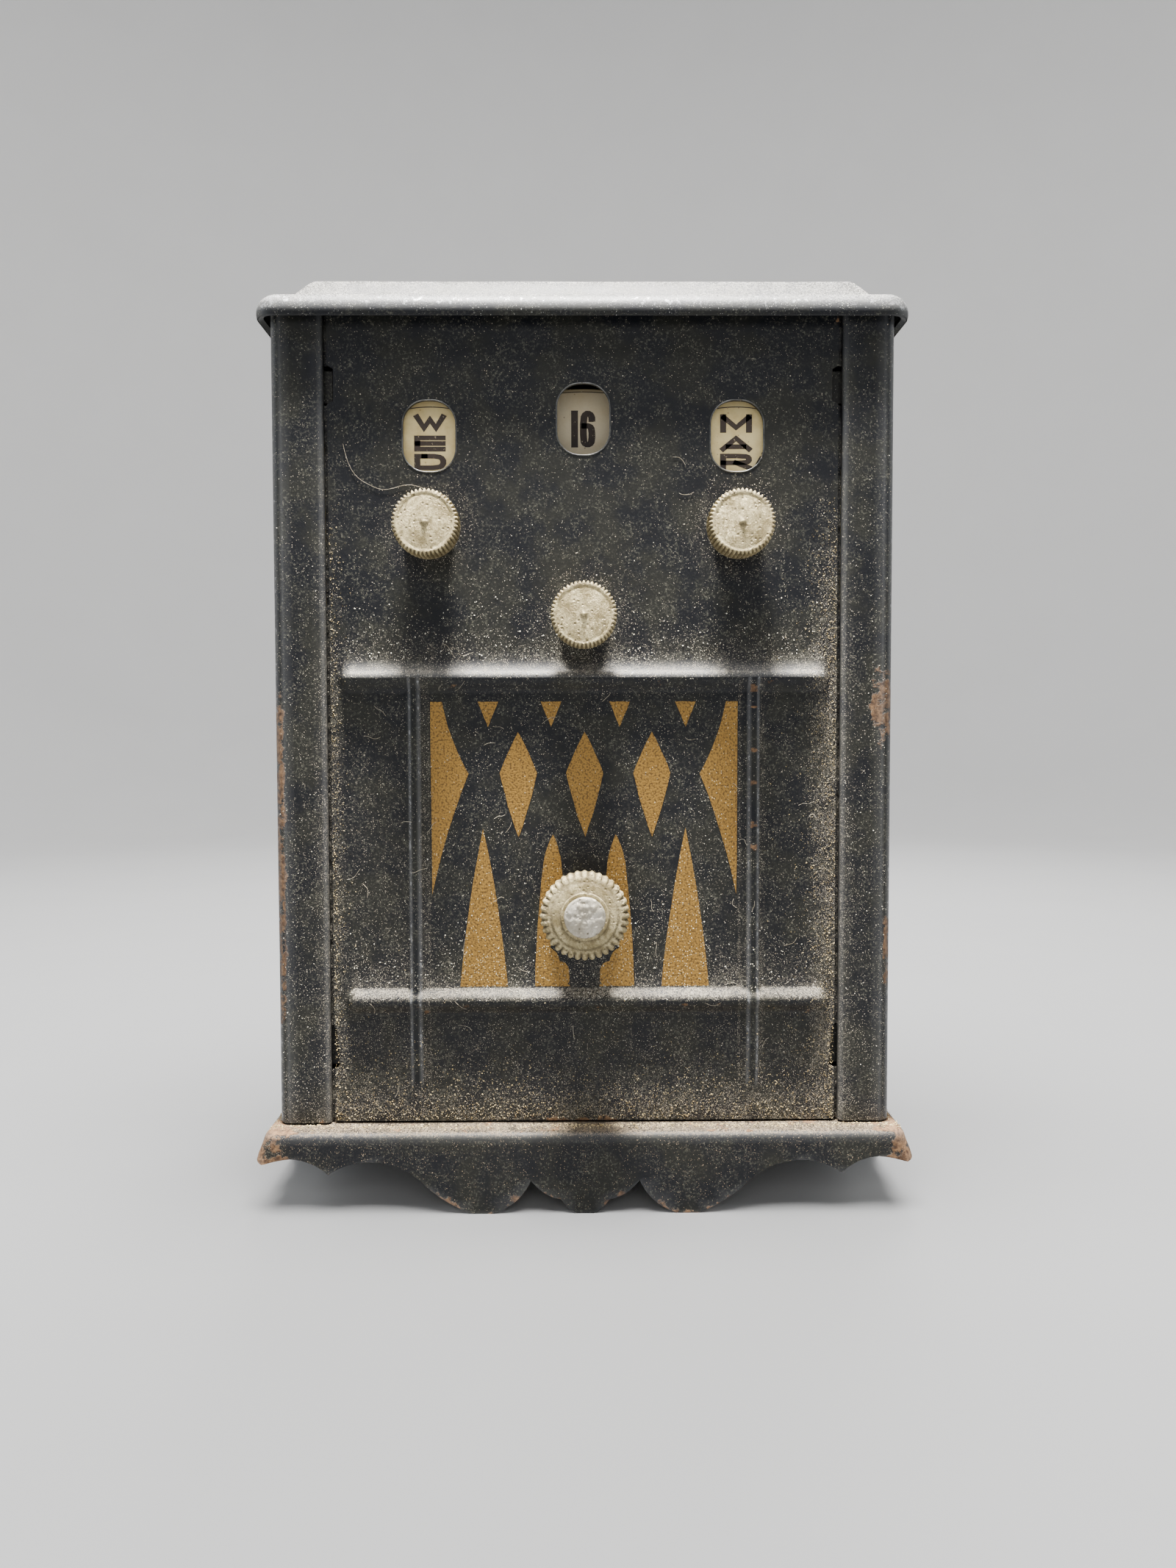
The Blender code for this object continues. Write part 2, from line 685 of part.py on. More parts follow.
def make_small_knob(name, axle):
    """A knurled knob with a closed, lightly domed face, a centre pip and a blind bore."""
    bore = SPINDLE_R + CLEAR_R
    profile = [
        (0.0, KNOB_FRONT),
        (0.4, KNOB_FRONT - 0.1),
        (0.7, KNOB_FRONT - 0.3),
        (3.9, KNOB_FRONT - 0.45),
        (KNOB_R - 0.2, KNOB_FRONT - 0.7),
        (KNOB_R, KNOB_FRONT - 1.0),
        (KNOB_R, KNOB_BACK + 0.9),
        (KNOB_R - 0.25, KNOB_BACK + 0.7),
        (KNOB_R - 0.25, KNOB_BACK),
        (bore, KNOB_BACK),
        (bore, KNOB_BORE_END),
        (0.0, KNOB_BORE_END),
    ]
    knob = turned(name, profile, "nickel", axle, steps=2 * KNURLS)
    knurl(knob, KNURLS, KNURL_DEPTH, (KNOB_BACK + 0.9, KNOB_FRONT - 1.0))
    return knob


def make_spring_washer(name, axle):
    """A dished washer between knob and bush, whose push holds the setting."""
    profile = [(1.8, 0.5), (3.2, 0.25), (3.2, 0.05), (1.8, 0.3)]
    return turned(name, profile, "steel", axle, hollow=True)


def make_dial(label, axis, disc_depth, disc_r, hub_r, hub_t):
    """What all three calendar dials share: knob, washer, disc and hub on one axle, and the bush."""
    axle = forward_empty(f"{label}_axle", axis)
    bore = SPINDLE_R + CLEAR_R
    make_small_knob(f"{label}_knob", axle)
    make_spring_washer(f"{label}_spring_washer", axle)
    make_bush(f"{label}_bush", axis, SMALL_BUSH_R, 3.6, bore, -0.2, 0.3, 1.3)
    disc_back = disc_depth + CARD_T
    ring(f"{label}_disc", disc_r, bore, -disc_depth, -disc_back, "card", axle, steps=40)
    hub_front = disc_back + GAP
    ring(f"{label}_hub", hub_r, bore, -hub_front, -hub_front - hub_t, "brass", axle)
    return axle


def make_short_dial(label, axis):
    """The day or month dial: its spindle is peened over just behind the hub."""
    hub_t = 1.3
    axle = make_dial(label, axis, SMALL_DISC_D, SMALL_DISC_R, 4.5, hub_t)
    hub_back = SMALL_DISC_D + CARD_T + GAP + hub_t
    profile = [
        (0.0, KNOB_BORE_END - 0.1),
        (SPINDLE_R, KNOB_BORE_END - 0.1),
        (SPINDLE_R, -hub_back - 0.2),
        (SPINDLE_R + 0.7, -hub_back - 0.2),
        (SPINDLE_R + 0.7, -hub_back - 0.6),
        (0.0, -hub_back - 0.8),
    ]
    turned(f"{label}_spindle", profile, "steel", axle)


def make_date_dial():
    """The date dial: a larger disc, set further back, on a spindle that reaches the partition."""
    axle = make_dial("date", DATE_AXIS, DATE_DISC_D, DATE_DISC_R, 5.0, 2.0)
    bore = SPINDLE_R + CLEAR_R
    ring("date_spacer", 2.8, bore, -PLATE_BACK - GAP, -DATE_DISC_D + GAP, "brass", axle)
    bush_front = PARTITION_D - GAP - REAR_FLANGE_T
    bush_l = 1.8
    make_bush("date_rear_bush", DATE_AXIS, REAR_BUSH_R, 3.8, bore, -bush_front, REAR_FLANGE_T, bush_l)
    clip = bush_front + bush_l + GAP
    ring("date_retainer", 3.2, bore, -clip, -clip - 0.4, "steel", axle)
    end = clip + 0.9
    profile = [
        (0.0, KNOB_BORE_END - 0.1),
        (SPINDLE_R, KNOB_BORE_END - 0.1),
        (SPINDLE_R, -end),
        (0.0, -end),
    ]
    turned("date_spindle", profile, "steel", axle)


# The lock.


def make_lock_knob(axle):
    """A knurled head with a stepped face, on a thick neck, bored right through."""
    bore = SHAFT_R + CLEAR_R
    top = LOCK_PROUD - 0.6
    back = LOCK_KNOB_BACK
    profile = [
        (2.9, top),
        (3.4, top - 0.15),
        (3.4, top - 0.5),
        (LOCK_KNOB_R - 0.3, top - 0.95),
        (LOCK_KNOB_R, top - 1.3),
        (LOCK_KNOB_R, back + 0.4),
        (LOCK_KNOB_R - 0.5, back),
        (LOCK_NECK_R, back),
        (LOCK_NECK_R, LOCK_NECK_END),
        (bore, LOCK_NECK_END),
        (bore, top),
    ]
    knob = turned("lock_knob", profile, "nickel", axle, steps=2 * LOCK_KNURLS, hollow=True)
    knurl(knob, LOCK_KNURLS, LOCK_KNURL_DEPTH, (back + 0.4, top - 1.3))


def make_lock():
    """Knob, shaft, collar, cam and nut turn together in two fixed bushes."""
    axle = forward_empty("lock_axle", LOCK_AXIS)
    bore = SHAFT_R + CLEAR_R
    make_lock_knob(axle)
    shaft_end = CAM_D + CAM_T + 3.0
    profile = [
        (0.0, LOCK_PROUD),
        (1.5, LOCK_PROUD),
        (SHAFT_R, LOCK_PROUD - 0.45),
        (SHAFT_R, -shaft_end),
        (0.0, -shaft_end),
    ]
    turned("lock_shaft", profile, "steel", axle)
    make_bush("lock_bush", LOCK_AXIS, LOCK_BUSH_R, 5.2, bore, 0.3, 0.8, 2.9)
    ring("lock_collar", 4.5, bore, -2.9, -4.9, "brass", axle)
    front = PARTITION_D - GAP - REAR_FLANGE_T
    make_bush("lock_bearing", LOCK_AXIS, LOCK_BUSH_R, 5.0, bore, -front, REAR_FLANGE_T, 2.2)
    make_lock_cam(axle)


def make_lock_cam(axle):
    """A flat arm that points up when unlocked, and swings in behind the striker's lip."""
    hub_r, half_w = 4.4, 2.6
    spread = 90 - math.degrees(math.acos(half_w / hub_r))
    hub = arc_angles(90 + spread, 450 - spread, 16)
    outline = [(hub_r * math.cos(a), hub_r * math.sin(a)) for a in hub]
    tip = CAM_REACH - half_w
    outline += [(half_w * math.cos(a), tip + half_w * math.sin(a)) for a in arc_angles(0, 180, 6)]
    bore = circle(0.0, 0.0, SHAFT_R + CLEAR_R)
    cam = flat_plate("lock_cam", [outline, bore], CAM_T, "steel")
    cam.parent = axle
    cam.location = Vector((0.0, 0.0, -(CAM_D + CAM_T / 2))) * MM
    nut = flat_plate("cam_nut", [circle(0.0, 0.0, 4.0, 6), bore], 2.0, "steel")
    nut.parent = axle
    nut.location = Vector((0.0, 0.0, -(CAM_D + CAM_T + GAP + 1.0))) * MM


def arc_angles(start, end, count):
    """Angles in radians from start to end, both in degrees."""
    return [math.radians(start + (end - start) * i / count) for i in range(count + 1)]


# The rear door.


def make_rivet(name, x, z, front, back):
    """A rivet between two depths, domed at both ends."""
    seat = forward_empty(f"{name}_seat", (x, z))
    head = RIVET_HEAD_H
    profile = [
        (0.0, -front + head),
        (RIVET_HEAD_R * 0.75, -front + head * 0.7),
        (RIVET_HEAD_R, -front),
        (RIVET_SHANK_R, -front),
        (RIVET_SHANK_R, -back),
        (RIVET_HEAD_R, -back),
        (RIVET_HEAD_R * 0.75, -back - head * 0.7),
        (0.0, -back - head),
    ]
    return turned(name, profile, "steel", seat, steps=12)


def upright_rod(name, radius, z_from, z_to):
    """A rod on the hinge line."""
    seat = add_empty(f"{name}_seat", at(HINGE_X, HINGE_D, 0.0))
    profile = [(0.0, z_to), (radius, z_to), (radius, z_from), (0.0, z_from)]
    return turned(name, profile, "enamel", seat, steps=16)


def make_rear_door():
    """A flat door that laps the opening, with a knuckle curled at its left edge and a pull lip."""
    x0, x1, z0, z1 = OPENING
    left = HINGE_X + KNUCKLE_R + GAP
    right, low, high = x1 + DOOR_LAP, z0 - DOOR_LAP, z1 + DOOR_LAP
    knuckle = (HINGE_Z[1] + GAP, HINGE_Z[2] - GAP)
    outline = [
        (left, low),
        (right - DOOR_CHAMFER, low),
        (right, low + DOOR_CHAMFER),
        (right, high - DOOR_CHAMFER),
        (right - DOOR_CHAMFER, high),
        (left, high),
        (left, knuckle[1] - WEB_INSET),
        (HINGE_X, knuckle[1] - WEB_INSET),
        (HINGE_X, knuckle[0] + WEB_INSET),
        (left, knuckle[0] + WEB_INSET),
    ]
    holes = [circle(STRIKER_RIVET_X, z, RIVET_SHANK_R + CLEAR_R, 12) for z in STRIKER_RIVETS_Z]
    door = upright_plate("rear_door", [outline] + holes, DOOR_D, DOOR_D + SHEET)
    middle = (low + high) / 2
    root = (right - SHEET, DOOR_D + 0.1, middle - PULL_HALF_Z)
    join(door, block("door_lip", root, (right - 0.05, DOOR_D + PULL_OUT, middle + PULL_HALF_Z)))
    join(door, upright_rod("door_knuckle", KNUCKLE_R, *knuckle))
    cut(door, upright_rod("door_knuckle_bore", PIN_R + CLEAR_R, knuckle[0] - 2, knuckle[1] + 2))
    return door


def make_hinge_leaf():
    """The fixed leaf, riveted to the casing's back, with a knuckle above and below the door's."""
    low, low_end, high_start, high = HINGE_Z
    outline = [
        (LEAF_X[0], low + WEB_INSET),
        (HINGE_X, low + WEB_INSET),
        (HINGE_X, low_end - WEB_INSET),
        (LEAF_X[1], low_end - WEB_INSET),
        (LEAF_X[1], high_start + WEB_INSET),
        (HINGE_X, high_start + WEB_INSET),
        (HINGE_X, high - WEB_INSET),
        (LEAF_X[0], high - WEB_INSET),
    ]
    holes = [circle(LEAF_RIVET_X, z, RIVET_SHANK_R + CLEAR_R, 12) for z in LEAF_RIVETS_Z]
    leaf = upright_plate("hinge_leaf", [outline] + holes, DOOR_D, DOOR_D + SHEET)
    join(leaf, upright_rod("leaf_knuckle_low", KNUCKLE_R, low, low_end))
    join(leaf, upright_rod("leaf_knuckle_high", KNUCKLE_R, high_start, high))
    cut(leaf, upright_rod("leaf_bore", PIN_R + CLEAR_R, low - 2, high + 2))
    return leaf


def make_striker():
    """A bent bracket inside the door: the cam's arm comes in behind its lip."""
    z = LOCK_AXIS[1]
    low, high = z - STRIKER_HALF_Z, z + STRIKER_HALF_Z
    plate_d = DOOR_D - GAP - SHEET
    lip_d = CAM_D - 0.8 - SHEET
    foot_d = plate_d + SHEET
    bend_x = STRIKER_X + SHEET / 2
    bracket = block("door_striker", (STRIKER_X, lip_d, low), (STRIKER_X + SHEET, foot_d, high), "steel")
    lip = block("striker_lip", (STRIKER_LIP_X, lip_d, low), (bend_x, lip_d + SHEET, high), "steel")
    foot_end = (STRIKER_RIVET_X + 3.0, foot_d, high + 1)
    foot = block("striker_foot", (bend_x, plate_d, low - 1), foot_end, "steel")
    join(bracket, lip)
    join(bracket, foot)
    for rivet_z in STRIKER_RIVETS_Z:
        radius = RIVET_SHANK_R + CLEAR_R
        drill(bracket, (STRIKER_RIVET_X, rivet_z), radius, plate_d - 1, plate_d + 2, 12)
    return bracket


def make_door_group():
    """The door swings on the pin; its leaf and pin stay with the casing."""
    hinge = add_empty("door_hinge_axis", at(HINGE_X, HINGE_D, 0.0))
    attach(make_rear_door(), hinge)
    attach(make_striker(), hinge)
    inner = DOOR_D - GAP - SHEET - RIVET_PLAY
    outer = DOOR_D + SHEET + RIVET_PLAY
    for label, z in zip(("low", "high"), STRIKER_RIVETS_Z):
        rivet = make_rivet(f"striker_rivet_{label}", STRIKER_RIVET_X, z, inner, outer)
        attach_seat(rivet, hinge)
    make_hinge_leaf()
    make_hinge_pin()
    inner = BODY_D - SHEET - RIVET_PLAY
    for label, z in zip(("low", "high"), LEAF_RIVETS_Z):
        make_rivet(f"leaf_rivet_{label}", LEAF_RIVET_X, z, inner, outer)


def attach_seat(obj, empty):
    """Hangs the empty that obj sits on from another empty."""
    attach(obj.parent, empty)


def make_hinge_pin():
    """A headed wire pin through all three knuckles."""
    seat = add_empty("hinge_pin_seat", at(HINGE_X, HINGE_D, 0.0))
    top = HINGE_Z[3] + GAP
    profile = [
        (0.0, top + 0.7),
        (1.1, top + 0.5),
        (1.1, top),
        (PIN_R, top),
        (PIN_R, HINGE_Z[0] - 0.6),
        (0.0, HINGE_Z[0] - 0.6),
    ]
    turned("hinge_pin", profile, "steel", seat, steps=16)


def build():
    make_case_shell()
    make_front_plate()
    make_top_cornice()
    make_base_plinth()
    make_partition_plate()
    make_short_dial("day", DAY_AXIS)
    make_short_dial("month", MONTH_AXIS)
    make_date_dial()
    make_lock()
    make_door_group()


build()
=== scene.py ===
"""Looks for the calendar coin bank: smooth pressed steel, knurled knobs, printed cards, worn enamel.

Lengths are in millimetres in the bank's own frame (+Z up, the front faces -Y); MM turns them into
metres when a mesh is made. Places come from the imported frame's boxes and joints.
"""

import json
import math
import random
from contextlib import contextmanager

import bmesh
import bpy
import numpy as np
from mathutils import Matrix, Vector, noise

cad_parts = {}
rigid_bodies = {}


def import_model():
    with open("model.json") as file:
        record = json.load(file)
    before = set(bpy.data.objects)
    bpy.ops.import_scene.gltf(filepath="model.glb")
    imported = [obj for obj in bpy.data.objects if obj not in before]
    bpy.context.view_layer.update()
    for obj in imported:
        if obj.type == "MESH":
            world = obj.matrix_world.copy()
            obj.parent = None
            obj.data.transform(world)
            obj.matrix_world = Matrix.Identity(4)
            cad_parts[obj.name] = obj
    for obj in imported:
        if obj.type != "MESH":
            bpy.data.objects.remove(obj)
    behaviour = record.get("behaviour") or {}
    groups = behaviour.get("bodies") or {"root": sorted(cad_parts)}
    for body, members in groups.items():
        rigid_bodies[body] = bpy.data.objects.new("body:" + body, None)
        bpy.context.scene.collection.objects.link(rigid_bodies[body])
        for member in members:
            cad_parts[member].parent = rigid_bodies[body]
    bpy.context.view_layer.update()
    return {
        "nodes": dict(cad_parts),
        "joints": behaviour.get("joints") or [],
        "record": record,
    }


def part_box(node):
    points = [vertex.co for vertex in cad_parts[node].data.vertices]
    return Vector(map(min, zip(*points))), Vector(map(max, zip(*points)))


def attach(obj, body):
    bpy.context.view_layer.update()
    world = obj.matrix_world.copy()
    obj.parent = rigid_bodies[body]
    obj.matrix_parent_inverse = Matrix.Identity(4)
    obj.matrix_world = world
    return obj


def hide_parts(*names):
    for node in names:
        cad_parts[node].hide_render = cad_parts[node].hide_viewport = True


MM = 0.001
SHEET = 0.7
CARD_GAP = 0.4  # air between the front plate and the day and month cards

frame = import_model()


def node_box(node):
    """A CAD node's lowest and highest corners, in millimetres."""
    low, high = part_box(node)
    return low / MM, high / MM


AXES = {j["name"]: Vector(j["pos_m"]) / MM for j in frame["joints"]}
DAY = AXES["day_knob_turn"]
MONTH = AXES["month_knob_turn"]
DATE = AXES["date_knob_turn"]
LOCK = AXES["lock_knob_turn"]
HINGE = AXES["rear_door_swing"]

CASE_LOW, CASE_HIGH = node_box("case_shell")
PLINTH_LOW, PLINTH_HIGH = node_box("base_plinth")
CORNICE_LOW, CORNICE_HIGH = node_box("top_cornice")
DOOR_LOW, DOOR_HIGH = node_box("rear_door")
CARD_LOW, CARD_HIGH = node_box("day_disc")
DATE_CARD_LOW, DATE_CARD_HIGH = node_box("date_disc")
PLATE_HIGH = node_box("front_plate")[1]

FRONT = CASE_LOW.y  # face of the pilasters
BACK = CASE_HIGH.y
HALF_W = CASE_HIGH.x
LIP_X = HALF_W - 7.6  # inner edge of the pilasters
MIDDLE_Y = (FRONT + BACK) / 2
HALF_D = (BACK - FRONT) / 2
LEDGE_Z = PLINTH_HIGH.z  # the casing's features are set up from here
TOP_Z = CORNICE_HIGH.z
CASE_FOOT = LEDGE_Z + 0.3
PLATE_Y = CARD_LOW.y - CARD_GAP - SHEET  # face of the front plate
PLATE_HALF_W = PLATE_HIGH.x


# Node trees. Values may be numbers or sockets of other nodes.


def add_node(tree, kind, inputs=None, **settings):
    """A shader node with its settings, and its inputs set to values or linked to sockets."""
    node = tree.nodes.new(kind)
    for key, value in settings.items():
        setattr(node, key, value)
    set_inputs(tree, node, inputs or {})
    return node


def set_inputs(tree, node, inputs):
    for key, value in inputs.items():
        if isinstance(value, bpy.types.NodeSocket):
            tree.links.new(value, node.inputs[key])
        else:
            node.inputs[key].default_value = value


def calc(tree, operation, a, b, clamp=False):
    node = add_node(tree, "ShaderNodeMath", {0: a, 1: b}, operation=operation, use_clamp=clamp)
    return node.outputs[0]


def times(tree, a, b, clamp=False):
    return calc(tree, "MULTIPLY", a, b, clamp)


def plus(tree, a, b):
    return calc(tree, "ADD", a, b)


def minus(tree, a, b):
    return calc(tree, "SUBTRACT", a, b)


def larger(tree, a, b, clamp=False):
    return calc(tree, "MAXIMUM", a, b, clamp)


def ramp(tree, value, low, high):
    """0 below low and 1 above high, smooth between; high may be the lower of the two."""
    inputs = {"Value": value, "From Min": low, "From Max": high}
    node = add_node(tree, "ShaderNodeMapRange", inputs, interpolation_type="SMOOTHSTEP")
    return node.outputs["Result"]


def blend_colour(tree, factor, a, b):
    inputs = {0: factor, 6: as_colour(a), 7: as_colour(b)}
    return add_node(tree, "ShaderNodeMix", inputs, data_type="RGBA").outputs[2]


def as_colour(value):
    return value if isinstance(value, bpy.types.NodeSocket) else (*value, 1.0)


def blend_value(tree, factor, a, b):
    return add_node(tree, "ShaderNodeMix", {0: factor, 2: a, 3: b}, data_type="FLOAT").outputs[0]


def places(tree):
    """The surface's place in millimetres."""
    coordinates = add_node(tree, "ShaderNodeTexCoord").outputs["Object"]
    inputs = {0: coordinates, "Scale": 1 / MM}
    return add_node(tree, "ShaderNodeVectorMath", inputs, operation="SCALE").outputs[0]


def grain(tree, where, per_mm, detail=3.0, rough=0.55, shift=0.0):
    """Noise between 0 and 1 with about per_mm bumps to a millimetre."""
    inputs = {"Vector": where, "Scale": per_mm, "Detail": detail, "Roughness": rough, "W": shift}
    return add_node(tree, "ShaderNodeTexNoise", inputs, noise_dimensions="4D").outputs[0]


def specks(tree, where, per_mm, size, share, shift=0.0):
    """Small spots: a share of the cells, 0 to 1, holds one, size across in cells."""
    inputs = {0: where, 1: (shift, shift, shift)}
    moved = add_node(tree, "ShaderNodeVectorMath", inputs, operation="ADD").outputs[0]
    cells = add_node(tree, "ShaderNodeTexVoronoi", {"Vector": moved, "Scale": per_mm})
    chosen = add_node(tree, "ShaderNodeSeparateColor", {0: cells.outputs["Color"]}).outputs[0]
    near = ramp(tree, cells.outputs["Distance"], size, size * 0.5)
    return times(tree, near, calc(tree, "LESS_THAN", chosen, share))


def new_material(name):
    """A new material, its node tree, its shader and the surface's place in millimetres."""
    mat = bpy.data.materials.new(name)
    mat.use_nodes = True
    tree = mat.node_tree
    return mat, tree, tree.nodes["Principled BSDF"], places(tree)


def wear_channels(tree):
    """Dust, rust and rubbed-edge amounts, painted on the mesh, 0 where none are; the rubbed amount also
    places painted highlights.
    """
    attribute = add_node(tree, "ShaderNodeAttribute", attribute_name="wear")
    split = add_node(tree, "ShaderNodeSeparateColor", {0: attribute.outputs["Color"]})
    return split.outputs


def facing_up(tree):
    normal = add_node(tree, "ShaderNodeNewGeometry").outputs["Normal"]
    return add_node(tree, "ShaderNodeSeparateXYZ", {0: normal}).outputs["Z"]


def set_surface(tree, shader, colour, rough, metallic=0.0):
    set_inputs(tree, shader, {"Base Color": colour, "Roughness": rough, "Metallic": metallic})


def set_bump(tree, shader, height, distance_mm, strength=1.0):
    inputs = {"Height": height, "Distance": distance_mm * MM, "Strength": strength}
    bump = add_node(tree, "ShaderNodeBump", inputs)
    tree.links.new(bump.outputs[0], shader.inputs["Normal"])


# Materials.

BLACK = (0.0048, 0.0056, 0.0080)
YELLOW_DUST = (0.28, 0.212, 0.105)
GREY_DUST = (0.27, 0.255, 0.225)
BROWN_DUST = (0.25, 0.155, 0.055)


def enamel_material(name, dust_colour, base=BLACK, dusty=1.0, rusty=1.0, lift=0.30):
    """Old enamel, mottled and grainy, under dust, rust and rubbed metal; the rubbed metal's pale grey also
    serves as painted highlights.
    """
    mat, tree, shader, where = new_material(name)
    dust_painted, rust_painted, rubbed_and_sheen = wear_channels(tree)[:3]

    mottle = grain(tree, where, 0.16, 5.0)
    fine = grain(tree, where, 2.7, 4.0, 0.8, shift=3.0)
    coarse = grain(tree, where, 0.35, 6.0, 0.7, shift=11.0)
    colour = blend_colour(tree, ramp(tree, mottle, 0.42, 0.60), base, (0.0125, 0.0128, 0.0105))
    haze = times(tree, ramp(tree, fine, 0.50, 0.68), ramp(tree, coarse, 0.38, 0.60))
    colour = blend_colour(tree, times(tree, haze, 0.85), colour, (0.128, 0.126, 0.098))

    dust, dots, powder = settled_dust(tree, where, dust_painted, dusty, fine, coarse)
    pale = tuple(lift + c for c in dust_colour)
    brightness = larger(tree, dots, ramp(tree, powder, 0.2, 0.6))
    dust_shade = blend_colour(tree, brightness, dust_colour, pale)
    colour = blend_colour(tree, times(tree, dust, 0.93), colour, dust_shade)

    rust, rust_grain = rust_patches(tree, where, times(tree, rust_painted, 0.38 * rusty))
    in_pits = ramp(tree, rust_grain, 0.3, 0.7)
    rust_shade = blend_colour(tree, in_pits, (0.060, 0.032, 0.019), (0.25, 0.145, 0.075))
    colour = blend_colour(tree, times(tree, rust, 0.85), colour, rust_shade)

    # Rubbed metal: random pale grey scuffs, plus pale grey where the rubbed amount is painted, which stands
    # in for highlights along crests, corners and edges.
    scuffs = grain(tree, where, 1.1, 6.0, 0.7, shift=7.0)
    level = minus(tree, 0.78, times(tree, rubbed_and_sheen, 0.36))
    bare_and_sheen = ramp(tree, minus(tree, scuffs, level), 0.0, 0.12)
    bare_and_sheen = larger(tree, bare_and_sheen, times(tree, rubbed_and_sheen, 0.32))
    colour = blend_colour(tree, times(tree, bare_and_sheen, 0.9), colour, (0.27, 0.275, 0.28))

    cover = larger(tree, dust, rust)
    rough = blend_value(tree, larger(tree, mottle, haze), 0.30, 0.60)
    rough = blend_value(tree, cover, blend_value(tree, bare_and_sheen, rough, 0.38), 0.95)
    set_surface(tree, shader, colour, rough, times(tree, bare_and_sheen, 0.5))
    shader.inputs["Specular IOR Level"].default_value = 0.25
    height = plus(tree, times(tree, fine, 0.6), times(tree, cover, 0.8))
    height = plus(tree, height, times(tree, coarse, 0.6))
    height = plus(tree, height, times(tree, rust_grain, rust))
    set_bump(tree, shader, height, 0.06, 0.9)
    return mat


def settled_dust(tree, where, painted, dusty, fine, coarse):
    """Spots of three sizes over a film of powder, on faces that look up and where dust is painted.
    Gives the dust's cover, its spots alone and the powder's grain."""
    up = times(tree, ramp(tree, facing_up(tree), 0.30, 0.95), dusty)
    painted = times(tree, painted, dusty)
    clumps = ramp(tree, grain(tree, where, 0.45, 5.0, 0.6, shift=9.0), 0.32, 0.68)
    amount = plus(tree, times(tree, up, 0.8), plus(tree, painted, 0.05))
    share = times(tree, amount, plus(tree, clumps, 0.25))
    large = specks(tree, where, 2.1, 0.22, times(tree, share, 0.35), shift=13.0)
    small = specks(tree, where, 3.6, 0.27, times(tree, share, 0.9))
    tiny = specks(tree, where, 6.5, 0.33, times(tree, share, 1.3), shift=5.0)
    powder = grain(tree, where, 4.2, 2.0, shift=6.0)
    film = plus(tree, times(tree, up, 0.9), times(tree, painted, 0.17))
    film = times(tree, film, ramp(tree, powder, 0.36, 0.60))
    film = times(tree, film, plus(tree, times(tree, ramp(tree, fine, 0.40, 0.60), 0.6), 0.5))
    film = times(tree, film, plus(tree, times(tree, ramp(tree, coarse, 0.35, 0.6), 0.6), 0.4))
    dots = larger(tree, larger(tree, small, tiny), large)
    return larger(tree, dots, film, clamp=True), dots, powder


def rust_patches(tree, where, amount):
    """Patches of rust that spread with the amount: their cover and their grain."""
    patches = grain(tree, where, 0.42, 7.0, 0.65, shift=1.5)
    rust = ramp(tree, minus(tree, patches, minus(tree, 0.80, amount)), 0.0, 0.055)
    return rust, grain(tree, where, 1.8, 5.0, shift=4.0)


def gold_material():
    """Stencilled bronze paint with a hammered skin, worn through in places."""
    mat, tree, shader, where = new_material("stencilled_gold")
    dust_painted = wear_channels(tree)[0]
    hammered = grain(tree, where, 3.4, 2.5)
    tint = grain(tree, where, 0.25, 4.0, shift=2.0)
    colour = blend_colour(tree, tint, (0.28, 0.150, 0.026), (0.37, 0.210, 0.045))
    colour = blend_colour(tree, ramp(tree, hammered, 0.56, 0.36), colour, (0.11, 0.058, 0.012))
    crumbs = specks(tree, where, 3.0, 0.30, times(tree, dust_painted, 0.55), shift=8.0)
    colour = blend_colour(tree, crumbs, colour, (0.72, 0.60, 0.36))
    worn = ramp(tree, grain(tree, where, 1.4, 6.0, 0.7, shift=5.0), 0.68, 0.74)
    colour = blend_colour(tree, worn, colour, (0.03, 0.025, 0.02))
    set_surface(tree, shader, colour, blend_value(tree, crumbs, 0.46, 0.95), 0.4)
    set_bump(tree, shader, plus(tree, hammered, crumbs), 0.10, 0.9)
    return mat


def metal_material(name, light, dark, rough, granular=0.0, bright=1.0):
    """Aged bare metal: patina, granular skin, and grime with painted shade where the wear channel's dust
    value is painted.
    """
    mat, tree, shader, where = new_material(name)
    cavity = wear_channels(tree)[0]
    patina = grain(tree, where, 0.5, 5.0)
    fine = grain(tree, where, 2.4, 5.0, 0.8, shift=4.0)
    colour = blend_colour(tree, ramp(tree, patina, 0.30, 0.72), light, dark)
    skin = times(tree, ramp(tree, fine, 0.44, 0.60), 0.3 + 0.45 * granular)
    colour = blend_colour(tree, skin, colour, dark)
    # Grime and painted shade: dark brown where the cavity amount is painted, and in small pits.
    grime_and_shade = times(tree, cavity, ramp(tree, fine, 0.20, 0.55), clamp=True)
    pits = specks(tree, where, 1.7, 0.36, 0.10 + 0.25 * granular, shift=2.0)
    grime_and_shade = larger(tree, grime_and_shade, times(tree, pits, 0.7))
    colour = blend_colour(tree, grime_and_shade, colour, (0.085, 0.062, 0.028))
    metallic = times(tree, minus(tree, 1.0, grime_and_shade), bright)
    spread = times(tree, patina, 0.25)
    rough_value = blend_value(tree, grime_and_shade, plus(tree, spread, rough - 0.1), 0.9)
    set_surface(tree, shader, colour, rough_value, metallic)
    height = minus(tree, times(tree, fine, granular + 0.15), times(tree, pits, 0.6))
    set_bump(tree, shader, height, 0.06 + 0.10 * granular)
    return mat


